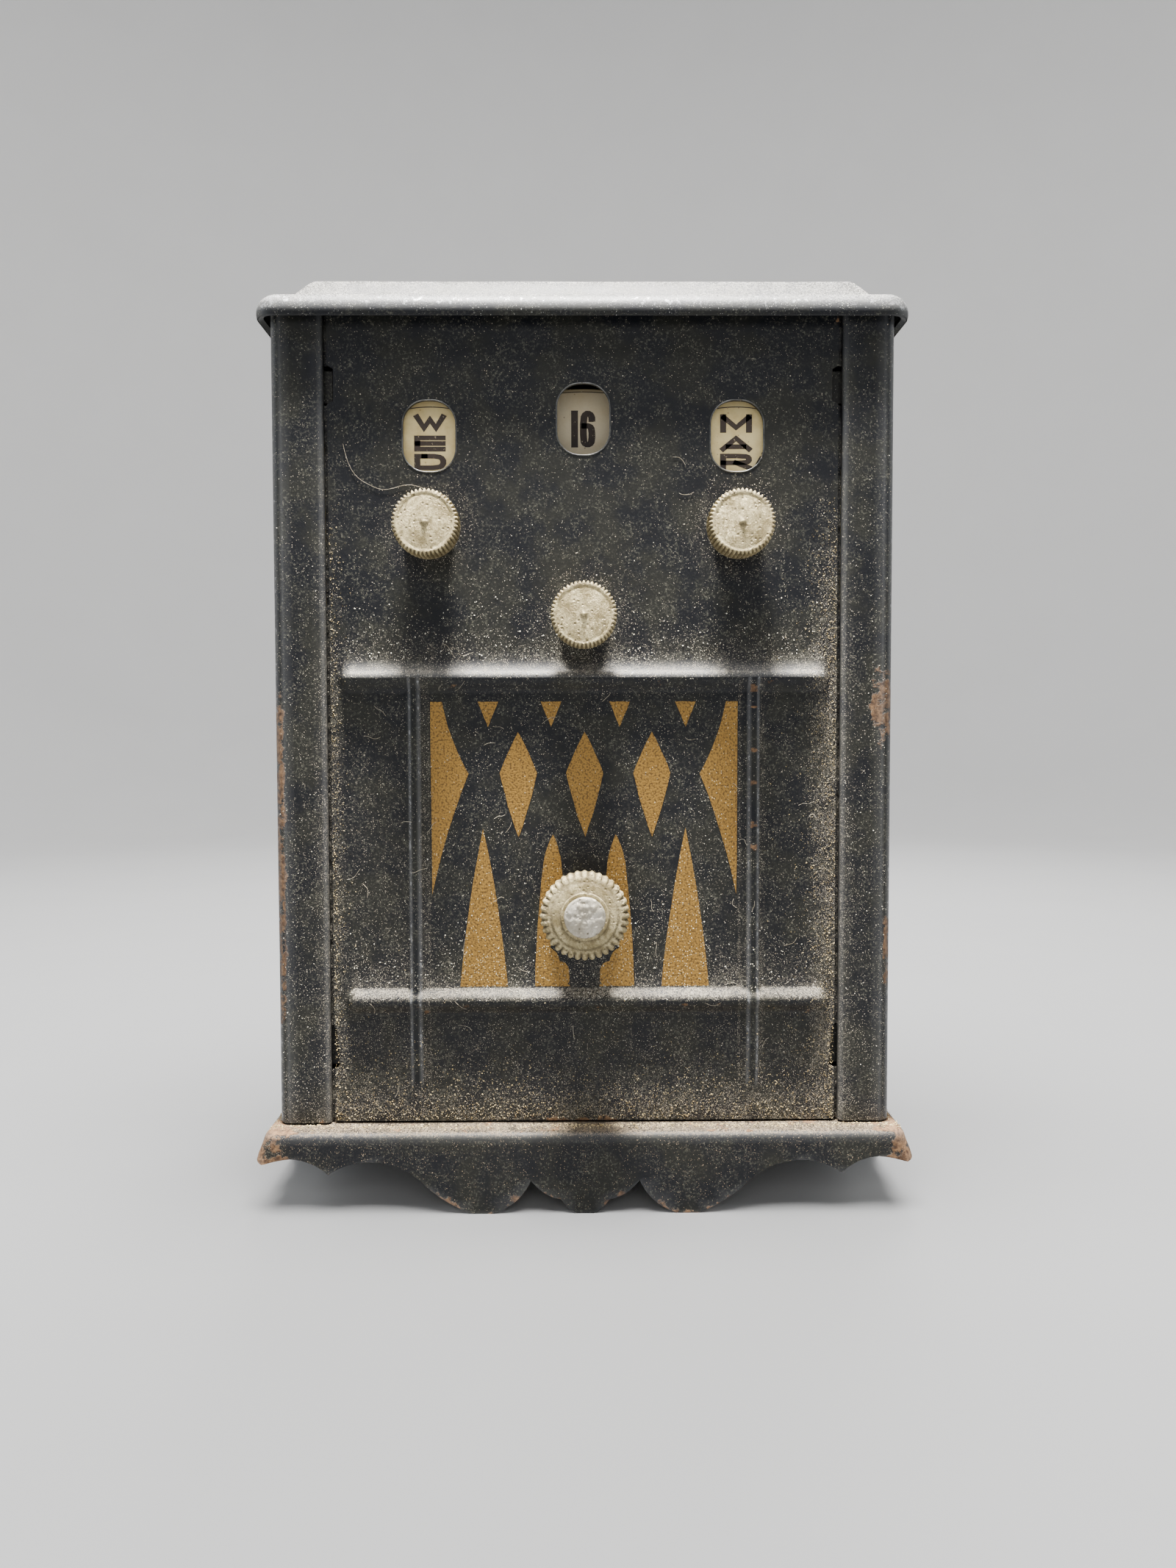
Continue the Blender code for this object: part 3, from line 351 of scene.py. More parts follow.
def card_material(name, light, dark):
    """Aged ivory card: fibre, foxing, and darker brown towards the rim where the wear channel is painted."""
    mat, tree, shader, where = new_material(name)
    rim = wear_channels(tree)[0]
    blotch = grain(tree, where, 0.35, 6.0, 0.6)
    fibre = grain(tree, where, 3.5, 3.0, shift=2.0)
    colour = blend_colour(tree, ramp(tree, blotch, 0.35, 0.75), light, dark)
    colour = blend_colour(tree, times(tree, fibre, 0.25), colour, (0.48, 0.38, 0.21))
    colour = blend_colour(tree, times(tree, rim, 0.92), colour, (0.17, 0.125, 0.05))
    foxing = specks(tree, where, 1.3, 0.20, 0.20, shift=6.0)
    colour = blend_colour(tree, times(tree, foxing, 0.6), colour, (0.24, 0.14, 0.06))
    set_surface(tree, shader, colour, 0.72)
    set_bump(tree, shader, fibre, 0.03, 0.5)
    return mat


def ink_material():
    """Dark brown-black print, flecked where the ink has lifted."""
    mat, tree, shader, where = new_material("letterpress_ink")
    lifted = ramp(tree, grain(tree, where, 2.4, 5.0, 0.7, shift=3.0), 0.61, 0.68)
    uneven = grain(tree, where, 1.0, 3.0)
    tone = blend_colour(tree, uneven, (0.020, 0.013, 0.010), (0.060, 0.038, 0.026))
    set_surface(tree, shader, blend_colour(tree, lifted, tone, (0.60, 0.50, 0.33)), 0.6)
    return mat


def crumb_material(name, light, dark):
    mat, tree, shader, where = new_material(name)
    tone = grain(tree, where, 1.3, 3.0)
    set_surface(tree, shader, blend_colour(tree, ramp(tree, tone, 0.35, 0.65), dark, light), 0.95)
    set_bump(tree, shader, grain(tree, where, 9.0, 2.0), 0.02, 0.6)
    return mat


ENAMEL = enamel_material("black_enamel", YELLOW_DUST)
CORNICE_ENAMEL = enamel_material("black_enamel_under_grey_dust", GREY_DUST, dusty=0.6, rusty=0.5)
PLINTH_ENAMEL = enamel_material(
    "black_enamel_under_yellow_dust", BROWN_DUST, dusty=0.55, rusty=1.15, lift=0.16
)
INNER_ENAMEL = enamel_material("thin_dip_paint", GREY_DUST, (0.016, 0.015, 0.014), 0.4, 1.4)
GOLD = gold_material()
NICKEL = metal_material(
    "dull_white_metal", (0.68, 0.58, 0.33), (0.20, 0.155, 0.07), 0.38, granular=1.0, bright=0.55
)
PEENED = metal_material(
    "peened_steel", (0.70, 0.655, 0.56), (0.38, 0.34, 0.26), 0.36, granular=0.7, bright=0.6
)
STEEL = metal_material("drawn_steel", (0.56, 0.56, 0.55), (0.33, 0.32, 0.30), 0.36, granular=0.2)
BRASS = metal_material("turned_brass", (0.62, 0.45, 0.19), (0.34, 0.22, 0.08), 0.36, granular=0.2)
CARD = card_material("ivory_card", (0.84, 0.70, 0.36), (0.62, 0.47, 0.20))
DATE_CARD = card_material("pale_ivory_card", (0.98, 0.86, 0.61), (0.90, 0.74, 0.47))
INK = ink_material()
STRAW_CRUMBS = crumb_material("straw_dust_crumbs", (0.60, 0.49, 0.27), (0.32, 0.23, 0.10))
PALE_CRUMBS = crumb_material("pale_dust_crumbs", (0.82, 0.79, 0.67), (0.44, 0.41, 0.31))
LINT = crumb_material("lint", (0.62, 0.56, 0.44), (0.40, 0.34, 0.24))
EDGE_ENAMEL = metal_material("rubbed_enamel_edge", (0.20, 0.20, 0.19), (0.06, 0.06, 0.06), 0.4, 0.3)


# Outlines and grids.


def smoothstep(low, high, value):
    t = min(1.0, max(0.0, (value - low) / (high - low)))
    return t * t * (3 - 2 * t)


def ripple(x, y, z, size, amount):
    """A gentle unevenness, for sheet that was pressed by hand-fed tools."""
    return amount * noise.noise(Vector((x, y, z)) / size)


def lines(low, high, fine, coarse_step, fine_step=0.0, reach=0.0):
    """Grid lines from low to high, closer together near the places in fine."""
    marks = [low]
    while marks[-1] < high:
        here = marks[-1]
        close = any(abs(here - f) < reach or (f > here and here + coarse_step > f - reach) for f in fine)
        marks.append(here + (fine_step if close else coarse_step))
    scale = (high - low) / (marks[-1] - low)
    return [low + (m - low) * scale for m in marks]


def arc(cx, cy, radius, start, sweep=90, count=10, tall=None):
    """Points of an arc, its angles in degrees; tall is an ellipse's upright radius."""
    angles = [math.radians(start + sweep * i / count) for i in range(count + 1)]
    return [(cx + radius * math.cos(a), cy + (tall or radius) * math.sin(a)) for a in angles]


def circle(cx, cy, radius, count=48):
    return arc(cx, cy, radius, 0, 360, count)[:-1]


def rounded_rectangle(cx, cy, width, height, radius, count=8):
    """An anticlockwise outline."""
    points = []
    for sx, sy, start in ((1, -1, -90), (1, 1, 0), (-1, 1, 90), (-1, -1, 180)):
        corner = (cx + sx * (width / 2 - radius), cy + sy * (height / 2 - radius))
        points += arc(*corner, radius, start, count=count)
    return points


def divided(a, b, step):
    """Points between a and b, about a step apart."""
    count = max(1, round(math.dist(a, b) / step))
    return [(a[0] + (b[0] - a[0]) * i / count, a[1] + (b[1] - a[1]) * i / count) for i in range(1, count)]


def fine_profile(points, step):
    """Divides a profile's straight runs, so that shapes round the rim have points to act on."""
    path = []
    for a, b in zip(points, points[1:]):
        path += [a] + divided(a, b, step)
    return path + [points[-1]]


def bowed(points, steps, closed):
    """An outline from corners (x, z, bow); bow curves the side to the next corner."""
    outline = []
    for (x0, z0, bow), (x1, z1, _) in zip(points, points[1:] + (points[:1] if closed else [])):
        length = math.hypot(x1 - x0, z1 - z0)
        nx, nz = -(z1 - z0) / length, (x1 - x0) / length
        count = steps if bow or closed else 1
        for i in range(count):
            t = i / count
            off = 4 * bow * t * (1 - t)
            outline.append((x0 + (x1 - x0) * t + nx * off, z0 + (z1 - z0) * t + nz * off))
    return outline if closed else outline + [points[-1][:2]]


def grid_faces(rows, columns, wrap=False, start=0, flip=False):
    """Quads over a grid of points stored row by row; wrap joins the last column to the first."""
    faces = []
    for r in range(rows - 1):
        for c in range(columns if wrap else columns - 1):
            d = (c + 1) % columns
            face = (r * columns + c, r * columns + d, (r + 1) * columns + d, (r + 1) * columns + c)
            faces.append(tuple(start + i for i in (reversed(face) if flip else face)))
    return faces


def sheet_faces(rows, columns, flip=False):
    """Faces of a sheet stored as two grids, one behind the other, with its rim closed."""
    count = rows * columns
    faces = grid_faces(rows, columns, flip=flip) + grid_faces(rows, columns, start=count, flip=not flip)
    rim = list(range(columns))
    rim += [r * columns + columns - 1 for r in range(1, rows)]
    rim += [(rows - 1) * columns + c for c in range(columns - 2, -1, -1)]
    rim += [r * columns for r in range(rows - 2, 0, -1)]
    for a, b in zip(rim, rim[1:] + rim[:1]):
        faces.append((a, b, b + count, a + count) if flip else (b, a, a + count, b + count))
    return faces


# Meshes.


def link_object(name, data):
    obj = bpy.data.objects.new(name, data)
    bpy.context.scene.collection.objects.link(obj)
    return obj


def add_mesh(name, points, faces, material, body="cabinet", smooth=45.0, **kw):
    """A piece from points in millimetres; edges sharper than smooth degrees stay crisp."""
    mesh = bpy.data.meshes.new(name)
    mesh.from_pydata([Vector(p) * MM for p in points], [], [tuple(f) for f in faces])
    mesh.validate()
    mesh.update()
    obj = add_piece(name, mesh, material, body, **kw)
    if smooth:
        smooth_shade(obj, smooth)
    return obj


def add_piece(name, data, material, body="cabinet", slot="enamel", replaces=None):
    obj = link_object(name, data)
    data.materials.append(material)
    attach(obj, body)
    if replaces:
        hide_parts(replaces)
    return obj


def smooth_shade(obj, crisp_angle):
    obj.data.shade_smooth()
    obj.data.set_sharp_from_angle(angle=math.radians(crisp_angle))


def add_spline(curve, points, kind="POLY"):
    """A spline through points in millimetres."""
    spline = curve.splines.new(kind)
    spline.points.add(len(points) - 1)
    for point, place in zip(spline.points, points):
        point.co = (*(c * MM for c in place), 1.0)
    return spline


def new_wire(name, radius, resolution):
    """A round wire's curve, still without a path."""
    curve = bpy.data.curves.new(name, "CURVE")
    curve.dimensions = "3D"
    curve.bevel_depth = radius * MM
    curve.bevel_resolution = resolution
    return curve


def add_ring_wire(name, outline, radius, resolution):
    """The burnished edge left round a punched hole."""
    curve = new_wire(name, radius, resolution)
    add_spline(curve, outline).use_cyclic_u = True
    add_piece(name, curve, EDGE_ENAMEL)


def evaluated_mesh(obj):
    """obj's mesh with its modifiers applied."""
    bpy.context.view_layer.update()
    evaluated = obj.evaluated_get(bpy.context.evaluated_depsgraph_get())
    return bpy.data.meshes.new_from_object(evaluated)


def apply_modifiers(obj):
    """Turns obj's modifiers into its mesh."""
    mesh = evaluated_mesh(obj)
    obj.modifiers.clear()
    obj.data = mesh


def thicken(obj, thickness=SHEET, even=True):
    """Gives a bent sheet its thickness, away from the side that its faces look to."""
    solid = obj.modifiers.new("sheet", "SOLIDIFY")
    solid.thickness = thickness * MM
    solid.offset = -1.0
    solid.use_even_offset = even
    apply_modifiers(obj)


@contextmanager
def editing(mesh):
    """A bmesh that is written back to the mesh at the end."""
    bm = bmesh.new()
    bm.from_mesh(mesh)
    yield bm
    bm.to_mesh(mesh)
    bm.free()


def weld(mesh, distance=0.0005):
    with editing(mesh) as bm:
        bmesh.ops.remove_doubles(bm, verts=bm.verts, dist=distance * MM)
        bmesh.ops.recalc_face_normals(bm, faces=bm.faces)


def cut(obj, outlines, axis, low, high):
    """Cuts flat outlines through obj, between low and high along axis ("y", "x" or "z")."""
    curve = bpy.data.curves.new("cutter", "CURVE")
    curve.dimensions = "2D"
    curve.fill_mode = "BOTH"
    curve.extrude = (high - low) / 2 * MM
    for outline in outlines:
        add_spline(curve, [(a, b, 0.0) for a, b in outline]).use_cyclic_u = True
    drawn = link_object("cutter_outline", curve)
    turns = {"x": (90, 0, 90), "y": (90, 0, 0), "z": (0, 0, 0)}
    drawn.rotation_euler = [math.radians(a) for a in turns[axis]]
    setattr(drawn.location, axis, (low + high) / 2 * MM)
    mesh = evaluated_mesh(drawn)
    mesh.transform(drawn.matrix_world)
    weld(mesh, 0.001)
    bpy.data.objects.remove(drawn)
    cutter = link_object("cutter_body", mesh)
    modifier = obj.modifiers.new("cut", "BOOLEAN")
    modifier.operation = "DIFFERENCE"
    modifier.solver = "EXACT"
    modifier.object = cutter
    apply_modifiers(obj)
    bpy.data.objects.remove(cutter)


def paint(obj, wear):
    """Stores each point's dust, rust and rubbed amounts, the rubbed amount also placing painted highlights,
    from wear(place in mm, normal).
    """
    mesh = obj.data
    layer = mesh.color_attributes.new("wear", "FLOAT_COLOR", "POINT")
    values = np.zeros((len(mesh.vertices), 4), np.float32)
    for i, vertex in enumerate(mesh.vertices):
        values[i, :3] = np.clip(wear(vertex.co / MM, vertex.normal), 0.0, 1.0)
    values[:, 3] = 1.0
    layer.data.foreach_set("color", values.ravel())


def add_turned(name, axis, y0, profile, columns, material, body, shape=None, hollow=False, **kw):
    """A turned piece on a front-to-back axis: profile is (radius, forward of y0), front to back.
    shape(angle, radius, forward) may change a point's radius. A solid piece starts and ends at a
    small radius, closed by a flat cap; a hollow one's profile closes on itself."""
    points = []
    for radius, forward in profile + (profile[:1] if hollow else []):
        for c in range(columns):
            a = math.tau * c / columns
            r = shape(a, radius, forward) if shape else radius
            points.append((axis.x + r * math.cos(a), y0 - forward, axis.z + r * math.sin(a)))
    faces = grid_faces(len(points) // columns, columns, wrap=True, flip=True)
    if not hollow:
        last = len(points) - columns
        faces.append(tuple(range(columns)))
        faces.append(tuple(reversed(range(last, last + columns))))
    obj = add_mesh(name, points, faces, material, body, **kw)
    weld(obj.data)
    return obj


def add_box(points, faces, side, low, high):
    """Adds a box to a mesh being built, mirrored to the left for side -1."""
    start = len(points)
    for x in (low[0], high[0]):
        for y in (low[1], high[1]):
            for z in (low[2], high[2]):
                points.append((side * x, y, z))
    quads = [(0, 1, 3, 2), (4, 6, 7, 5), (0, 4, 5, 1), (2, 3, 7, 6), (0, 2, 6, 4), (1, 5, 7, 3)]
    for quad in quads:
        faces.append(tuple(start + i for i in (quad if side > 0 else reversed(quad))))


# The front plate.

UPPER_RIB_Z = LEDGE_Z + 65.5
LOWER_RIB_Z = LEDGE_Z + 18.3
RIBS = ((0.0, UPPER_RIB_Z), (0.45, LOWER_RIB_Z))  # middle of each horizontal rib
RIB_REACH = 34.9
RIB_SHAPE = (2.2, 1.3)  # half width, height
UPRIGHT_X = 24.7
UPRIGHT_FOOT = LEDGE_Z + 5.7
UPRIGHT_RISE = 0.85
WINDOW = (7.65, 10.2, 3.4)  # width, height, corner radius
WINDOW_RISE = 13.3  # the day and month windows' height above their knobs
DATE_WINDOW_Z = LEDGE_Z + 102.7
# The edge notches: lowest and highest place, and the depth at each.
UPPER_NOTCH = (LEDGE_Z + 104.8, LEDGE_Z + 110.4, 0.9, 0.9)
LOWER_NOTCH = (LEDGE_Z + 8.0, LEDGE_Z + 14.5, 0.8, 0.4)
PLATE_Z = (CASE_FOOT, PLATE_HIGH.z)


def from_segment(x, z, x0, z0, x1, z1):
    """The distance from a point to a segment on the plate."""
    t = ((x - x0) * (x1 - x0) + (z - z0) * (z1 - z0)) / ((x1 - x0) ** 2 + (z1 - z0) ** 2)
    t = min(1.0, max(0.0, t))
    return math.hypot(x - x0 - t * (x1 - x0), z - z0 - t * (z1 - z0))


def bead(distance, half_w, height):
    """A half-round rib's cross-section, with filleted feet."""
    u = min(1.0, distance / half_w)
    return height * (0.5 + 0.5 * math.cos(math.pi * u)) ** 0.85


def rib_height(x, z):
    """How far the plate's face stands forward of its flat."""
    heights = []
    for middle, rib_z in RIBS:
        gap = from_segment(x, z, middle - RIB_REACH + 1.2, rib_z, middle + RIB_REACH - 1.2, rib_z)
        heights.append(bead(gap, *RIB_SHAPE))
    side = math.copysign(UPRIGHT_X, x)
    fade = smoothstep(UPRIGHT_FOOT - 2.0, LOWER_RIB_Z - 3.5, z)
    width = 1.5 + 0.7 * (1 - smoothstep(LOWER_RIB_Z - 8, LOWER_RIB_Z, z))
    gap = from_segment(x, z, side, UPRIGHT_FOOT - 2.0, side, UPPER_RIB_Z)
    heights.append(bead(gap, width, UPRIGHT_RISE) * fade)
    return sum(h ** 4 for h in heights) ** 0.25


def plate_face(x, z):
    """The y of the plate's face: flat behind the stencil, very slightly uneven elsewhere."""
    clear = smoothstep(23.0, 27.0, abs(x))
    clear += smoothstep(UPPER_RIB_Z - 3, UPPER_RIB_Z + 2, z) + smoothstep(LOWER_RIB_Z, LOWER_RIB_Z - 4, z)
    return PLATE_Y - rib_height(x, z) + min(1.0, clear) * ripple(x, 0.0, z, 16.0, 0.06)


def edge_x(z):
    """The plate's half width at a height, with the notches where the ears are bent back."""
    for low, high, low_depth, high_depth in (UPPER_NOTCH, LOWER_NOTCH):
        if low <= z <= high:
            depth = low_depth + (high_depth - low_depth) * (z - low) / (high - low)
            inside = min(smoothstep(low, low + 0.5, z), smoothstep(high, high - 0.5, z))
            return PLATE_HALF_W - inside * depth
    return PLATE_HALF_W


def make_front_plate():
    ribs_x = (-UPRIGHT_X, UPRIGHT_X, -RIB_REACH, RIB_REACH)
    xs = lines(-PLATE_HALF_W, PLATE_HALF_W, ribs_x, 1.6, 0.2, 2.3)
    notch_ends = [z for notch in (UPPER_NOTCH, LOWER_NOTCH) for z in notch[:2]]
    zs = lines(*PLATE_Z, [UPPER_RIB_Z, LOWER_RIB_Z], 1.6, 0.2, 2.0)
    zs = sorted(set(zs + [end + d for end in notch_ends for d in (-0.5, -0.25, 0.0, 0.25, 0.5)]))
    inner = 35.6  # the grid is drawn in to the notches outside this
    points = []
    for thickness in (0.0, SHEET):
        for z in zs:
            for x in xs:
                y = plate_face(x, z) + thickness
                if abs(x) > inner:
                    share = (abs(x) - inner) / (PLATE_HALF_W - inner)
                    x = math.copysign(inner + share * (edge_x(z) - inner), x)
                points.append((x, y, z))
    faces = sheet_faces(len(zs), len(xs))
    plate = add_mesh("pressed_front_plate", points, faces, ENAMEL, replaces="front_plate")
    outlines = [rounded_rectangle(x, z, *WINDOW) for x, z in window_centres()]
    outlines += [circle(a.x, a.z, 2.8) for a in (DAY, MONTH, DATE)]
    outlines.append(circle(LOCK.x, LOCK.z, 3.7))
    cut(plate, outlines, "y", PLATE_Y - 2, PLATE_Y + 2)
    smooth_shade(plate, 50.0)
    paint(plate, plate_wear)
    for label, (x, z) in zip(("day", "month", "date"), window_centres()):
        add_window_edge(f"{label}_window_edge", x, z)
    add_ears()
    add_gap_dust()


def window_centres():
    return [(DAY.x, DAY.z + WINDOW_RISE), (MONTH.x, MONTH.z + WINDOW_RISE), (DATE.x, DATE_WINDOW_Z)]


def add_window_edge(name, cx, cz):
    width, height, radius = WINDOW
    outline = rounded_rectangle(cx, cz, width + 0.06, height + 0.06, radius, 10)
    add_ring_wire(name, [(x, plate_face(x, z) + 0.03, z) for x, z in outline], 0.11, 2)


def add_ears():
    """Strips bent back from the notches, and the casing's tabs that they are welded to."""
    points, faces = [], []
    outer = PLATE_HALF_W - 0.95
    for side in (-1, 1):
        for low, high, _, _ in (UPPER_NOTCH, LOWER_NOTCH):
            foot, top = low + 0.5, high - 0.5
            ear = (outer - SHEET, PLATE_Y + 0.3, foot), (outer, PLATE_Y + SHEET + 3.0, top)
            tab = (outer + 0.4, PLATE_Y + SHEET + 0.7, foot), (outer + 2.9, PLATE_Y + 2.1, top)
            add_box(points, faces, side, *ear)
            add_box(points, faces, side, *tab)
    add_mesh("plate_ears_and_tabs", points, faces, INNER_ENAMEL, smooth=30.0)


def add_gap_dust():
    """Felted dust that has packed the gap between the plate's edges and the pilasters' lips."""
    points, faces = [], []
    ends = [CASE_FOOT + 0.3, *LOWER_NOTCH[:2], *UPPER_NOTCH[:2], PLATE_Z[1] - 1.0]
    inner, outer = PLATE_HALF_W - 1.1, LIP_X - 0.02
    for side in (-1, 1):
        for low, high in zip(ends[::2], ends[1::2]):
            start = len(points)
            zs = lines(low, high, (), 0.35)
            for z in zs:
                for across in (0.0, 0.33, 0.67, 1.0):
                    x = inner + across * (outer - inner)
                    y = PLATE_Y + SHEET - 0.05 + 0.22 * noise.noise(Vector((x * side, 4.0, z)) * 1.7)
                    points.append((side * x, y, z))
            faces += grid_faces(len(zs), 4, start=start, flip=side < 0)
    dust = add_mesh("gap_dust", points, faces, ENAMEL, smooth=80.0)
    thicken(dust, 0.12, even=False)
    smooth_shade(dust, 80.0)

    def felt(p, normal):
        rise = p.z - LEDGE_Z
        return 0.15 + 0.6 * smoothstep(100.0, 50.0, rise), 0.3, 0.0

    paint(dust, felt)


def plate_wear(p, normal):
    """Dust lies low down, above the ribs, round the knobs and along the gaps; rust under the ribs
    and at the foot. A painted highlight runs along the ribs' upper crests, and the uprights' crests are clean
    between two painted highlight lines."""
    rise = p.z - LEDGE_Z
    dust = smoothstep(21.0, 1.5, rise) * 0.16 + smoothstep(95.0, 30.0, rise) * 0.08
    dust += smoothstep(8.0, 0.5, rise) * 0.45
    rust = 0.06 + smoothstep(3.6, 0.4, rise) * (0.35 + 0.5 * smoothstep(16.0, 3.0, abs(p.x + 2.0)))
    crest_highlight = 0.0
    for middle, rib_z in RIBS:
        over = p.z - rib_z
        if abs(p.x - middle) < RIB_REACH:
            dust += smoothstep(9.0, 0.3, over) * 0.36 if over > 0 else 0.0
            # Painted highlight along each rib's upper crest.
            crest_highlight = max(crest_highlight, 0.6 * smoothstep(1.2, 0.5, abs(over - 0.4)))
            rust += 0.4 * smoothstep(4.0, 1.4, -over) if over < -0.4 else 0.0
    side = PLATE_HALF_W - abs(p.x)
    choked = 0.75 if p.x > 0 else 0.4
    dust += smoothstep(5.0 if p.x > 0 else 2.5, 0.3, side) * smoothstep(98.0, 58.0, rise) * choked
    rust += 0.3 * smoothstep(2.2, 0.3, side)
    for axis in (DAY, MONTH, DATE):
        dust += smoothstep(8.5, 5.0, math.hypot(p.x - axis.x, p.z - axis.z)) * 0.22
    dust *= 1.0 + 0.25 * smoothstep(-10.0, 30.0, p.x)
    dust += 0.10 * smoothstep(-20.0, -28.0, p.x) * smoothstep(70.0, 25.0, rise)
    rubbed_and_sheen = crest_highlight
    if UPRIGHT_FOOT < p.z < UPPER_RIB_Z:
        off = p.x - math.copysign(UPRIGHT_X, p.x)
        across = abs(off)
        dust *= smoothstep(0.35, 0.8, across)
        dust += 0.30 * smoothstep(0.6, 0.9, off) * smoothstep(1.9, 1.5, off)
        dust += 0.45 * smoothstep(0.25, 0.1, abs(abs(p.x) - UPRIGHT_X + 2.0))
        # Two painted highlight lines, one each side of the upright's crest.
        rubbed_and_sheen = 0.8 * smoothstep(0.34, 0.1, abs(across - 0.66))
        if p.x > 0:
            flaked = noise.noise(Vector((0.0, 5.0, p.z * 0.6))) > 0.12 and p.z > UPPER_RIB_Z - 26
            rust += 0.9 if flaked and across < 0.6 else 0.0
    return dust, rust, rubbed_and_sheen


# The stencilled grille: outlines on the plate's face.

GRILLE_TOP = LEDGE_Z + 62.1
GRILLE_FOOT = LEDGE_Z + 20.3


def diamond(cx, top, wide, foot):
    half = 2.72
    return [(cx, top, -0.12), (cx - half, wide, -0.16), (cx, foot, -0.16), (cx + half, wide, -0.12)]


def grille_outlines():
    """Small triangles, side pieces, diamonds and spears; the middle spears curl round the lock.
    Heights are below the grille's top edge."""
    shapes = []
    foot = GRILLE_FOOT - GRILLE_TOP
    for x in (-14.0, -4.8, 5.2, 14.8):
        shapes.append([(x - 1.5, 0, 0), (x, -3.7, 0), (x + 1.5, 0, 0)])
    for x in (-9.6, 0.1, 9.9):
        shapes.append(diamond(x, -4.4, -10.4, -19.8))
    outlines = [bowed(shape, 6, closed=True) for shape in shapes]
    for side in (-1, 1):
        corners = [(22.4, 0, 0), (22.3, -28.2, -0.4), (16.9, -10.5, -0.45), (20.7, 0, 0)]
        spear = [(14.8, -18.5, 0.35), (18.3, foot, 0), (11.3, foot, 0.35)]
        middle = [(4.6, -19.4, 0.15), (6.0, -23.4, 0.2), (7.3, foot, 0), (2.2, foot, 0)]
        middle += [(2.3, -39.2, 0.3), (3.7, -38.1, 0.35), (5.1, -36.1, 0.9), (3.4, -23.4, 0.15)]
        for shape in (corners, spear, middle):
            outlines.append([(side * x, z) for x, z in bowed(shape, 6, closed=True)])
    return [[(x, GRILLE_TOP + z) for x, z in outline] for outline in outlines]


def make_grille():
    """The gold areas as thin paint, a few hundredths of a millimetre proud of the enamel."""
    points, faces = [], []
    skin = 0.035
    for outline in grille_outlines():
        ring = []
        for x, z in outline:
            wobble = noise.noise(Vector((x, 3.0, z)) * 1.3) * 0.09
            x, z = x + wobble, z + wobble * 0.6
            ring.append((x, plate_face(x, z) - skin, z))
        turn = sum((a[0] * b[2] - b[0] * a[2]) for a, b in zip(ring, ring[1:] + ring[:1]))
        if turn < 0:
            ring.reverse()
        start, n = len(points), len(ring)
        points += ring + [(x, y + skin + 0.05, z) for x, y, z in ring]
        faces.append(tuple(range(start, start + n)))
        faces.append(tuple(reversed(range(start + n, start + 2 * n))))
        for i in range(n):
            j = (i + 1) % n
            faces.append((start + j, start + i, start + n + i, start + n + j))
    grille = add_mesh("stencilled_grille", points, faces, GOLD, smooth=30.0)
    with editing(grille.data) as bm:
        bmesh.ops.triangulate(bm, faces=bm.faces)
        bmesh.ops.recalc_face_normals(bm, faces=bm.faces)
    foot = LOWER_RIB_Z + 3

    def wear(p, normal):
        return 0.1 + 0.9 * smoothstep(foot + 28, foot, p.z) + 0.3 * (p.x > 15), 0.0, 0.0

    paint(grille, wear)


# The casing.

OPENING = (0.0, LEDGE_Z + 34.3, 56.0, 50.0, 3.0)  # behind the door: middle, size, corner radius


def case_path():
    """The sheet's outer side in plan, from the left pilaster's lip round the back to the right's."""
    lip_r, corner = 0.8, 1.9
    lip = [(LIP_X, FRONT + 1.4)] + arc(LIP_X + lip_r, FRONT + lip_r, lip_r, 180)
    front_corner = arc(HALF_W - corner, FRONT + corner, corner, 270)
    back_corner = arc(HALF_W - corner, BACK - corner, corner, 0)
    half = lip + divided(lip[-1], front_corner[0], 1.2) + front_corner
    half += divided(front_corner[-1], back_corner[0], 3.0) + back_corner
    half += divided(back_corner[-1], (0.0, BACK), 3.0) + [(0.0, BACK)]
    return half + [(-x, y) for x, y in reversed(half[:-1])]


def make_case():
    path = case_path()
    zs = lines(CASE_FOOT, CASE_HIGH.z, (), 2.5)
    points = []
    for z in zs:
        for x, y in path:
            calm = smoothstep(0.0, 6.0, min(abs(y - FRONT), abs(y - BACK)))
            on_side = abs(abs(x) - HALF_W) < 0.01
            bulge = ripple(x * 0.3, y, z, 22.0, 0.10) * calm if on_side else 0.0
            dent = ripple(x, y, z, 9.0, 0.05) if y < FRONT + 0.01 else 0.0
            points.append((x + math.copysign(bulge, x), y + dent, z))
    faces = grid_faces(len(zs), len(path))
    case = add_mesh("casing", points, faces, ENAMEL, replaces="case_shell")
    thicken(case)
    cut(case, [rounded_rectangle(*OPENING)], "y", BACK - 3, BACK + 2)
    smooth_shade(case, 38.0)
    paint(case, case_wear)
    add_floor_tabs()


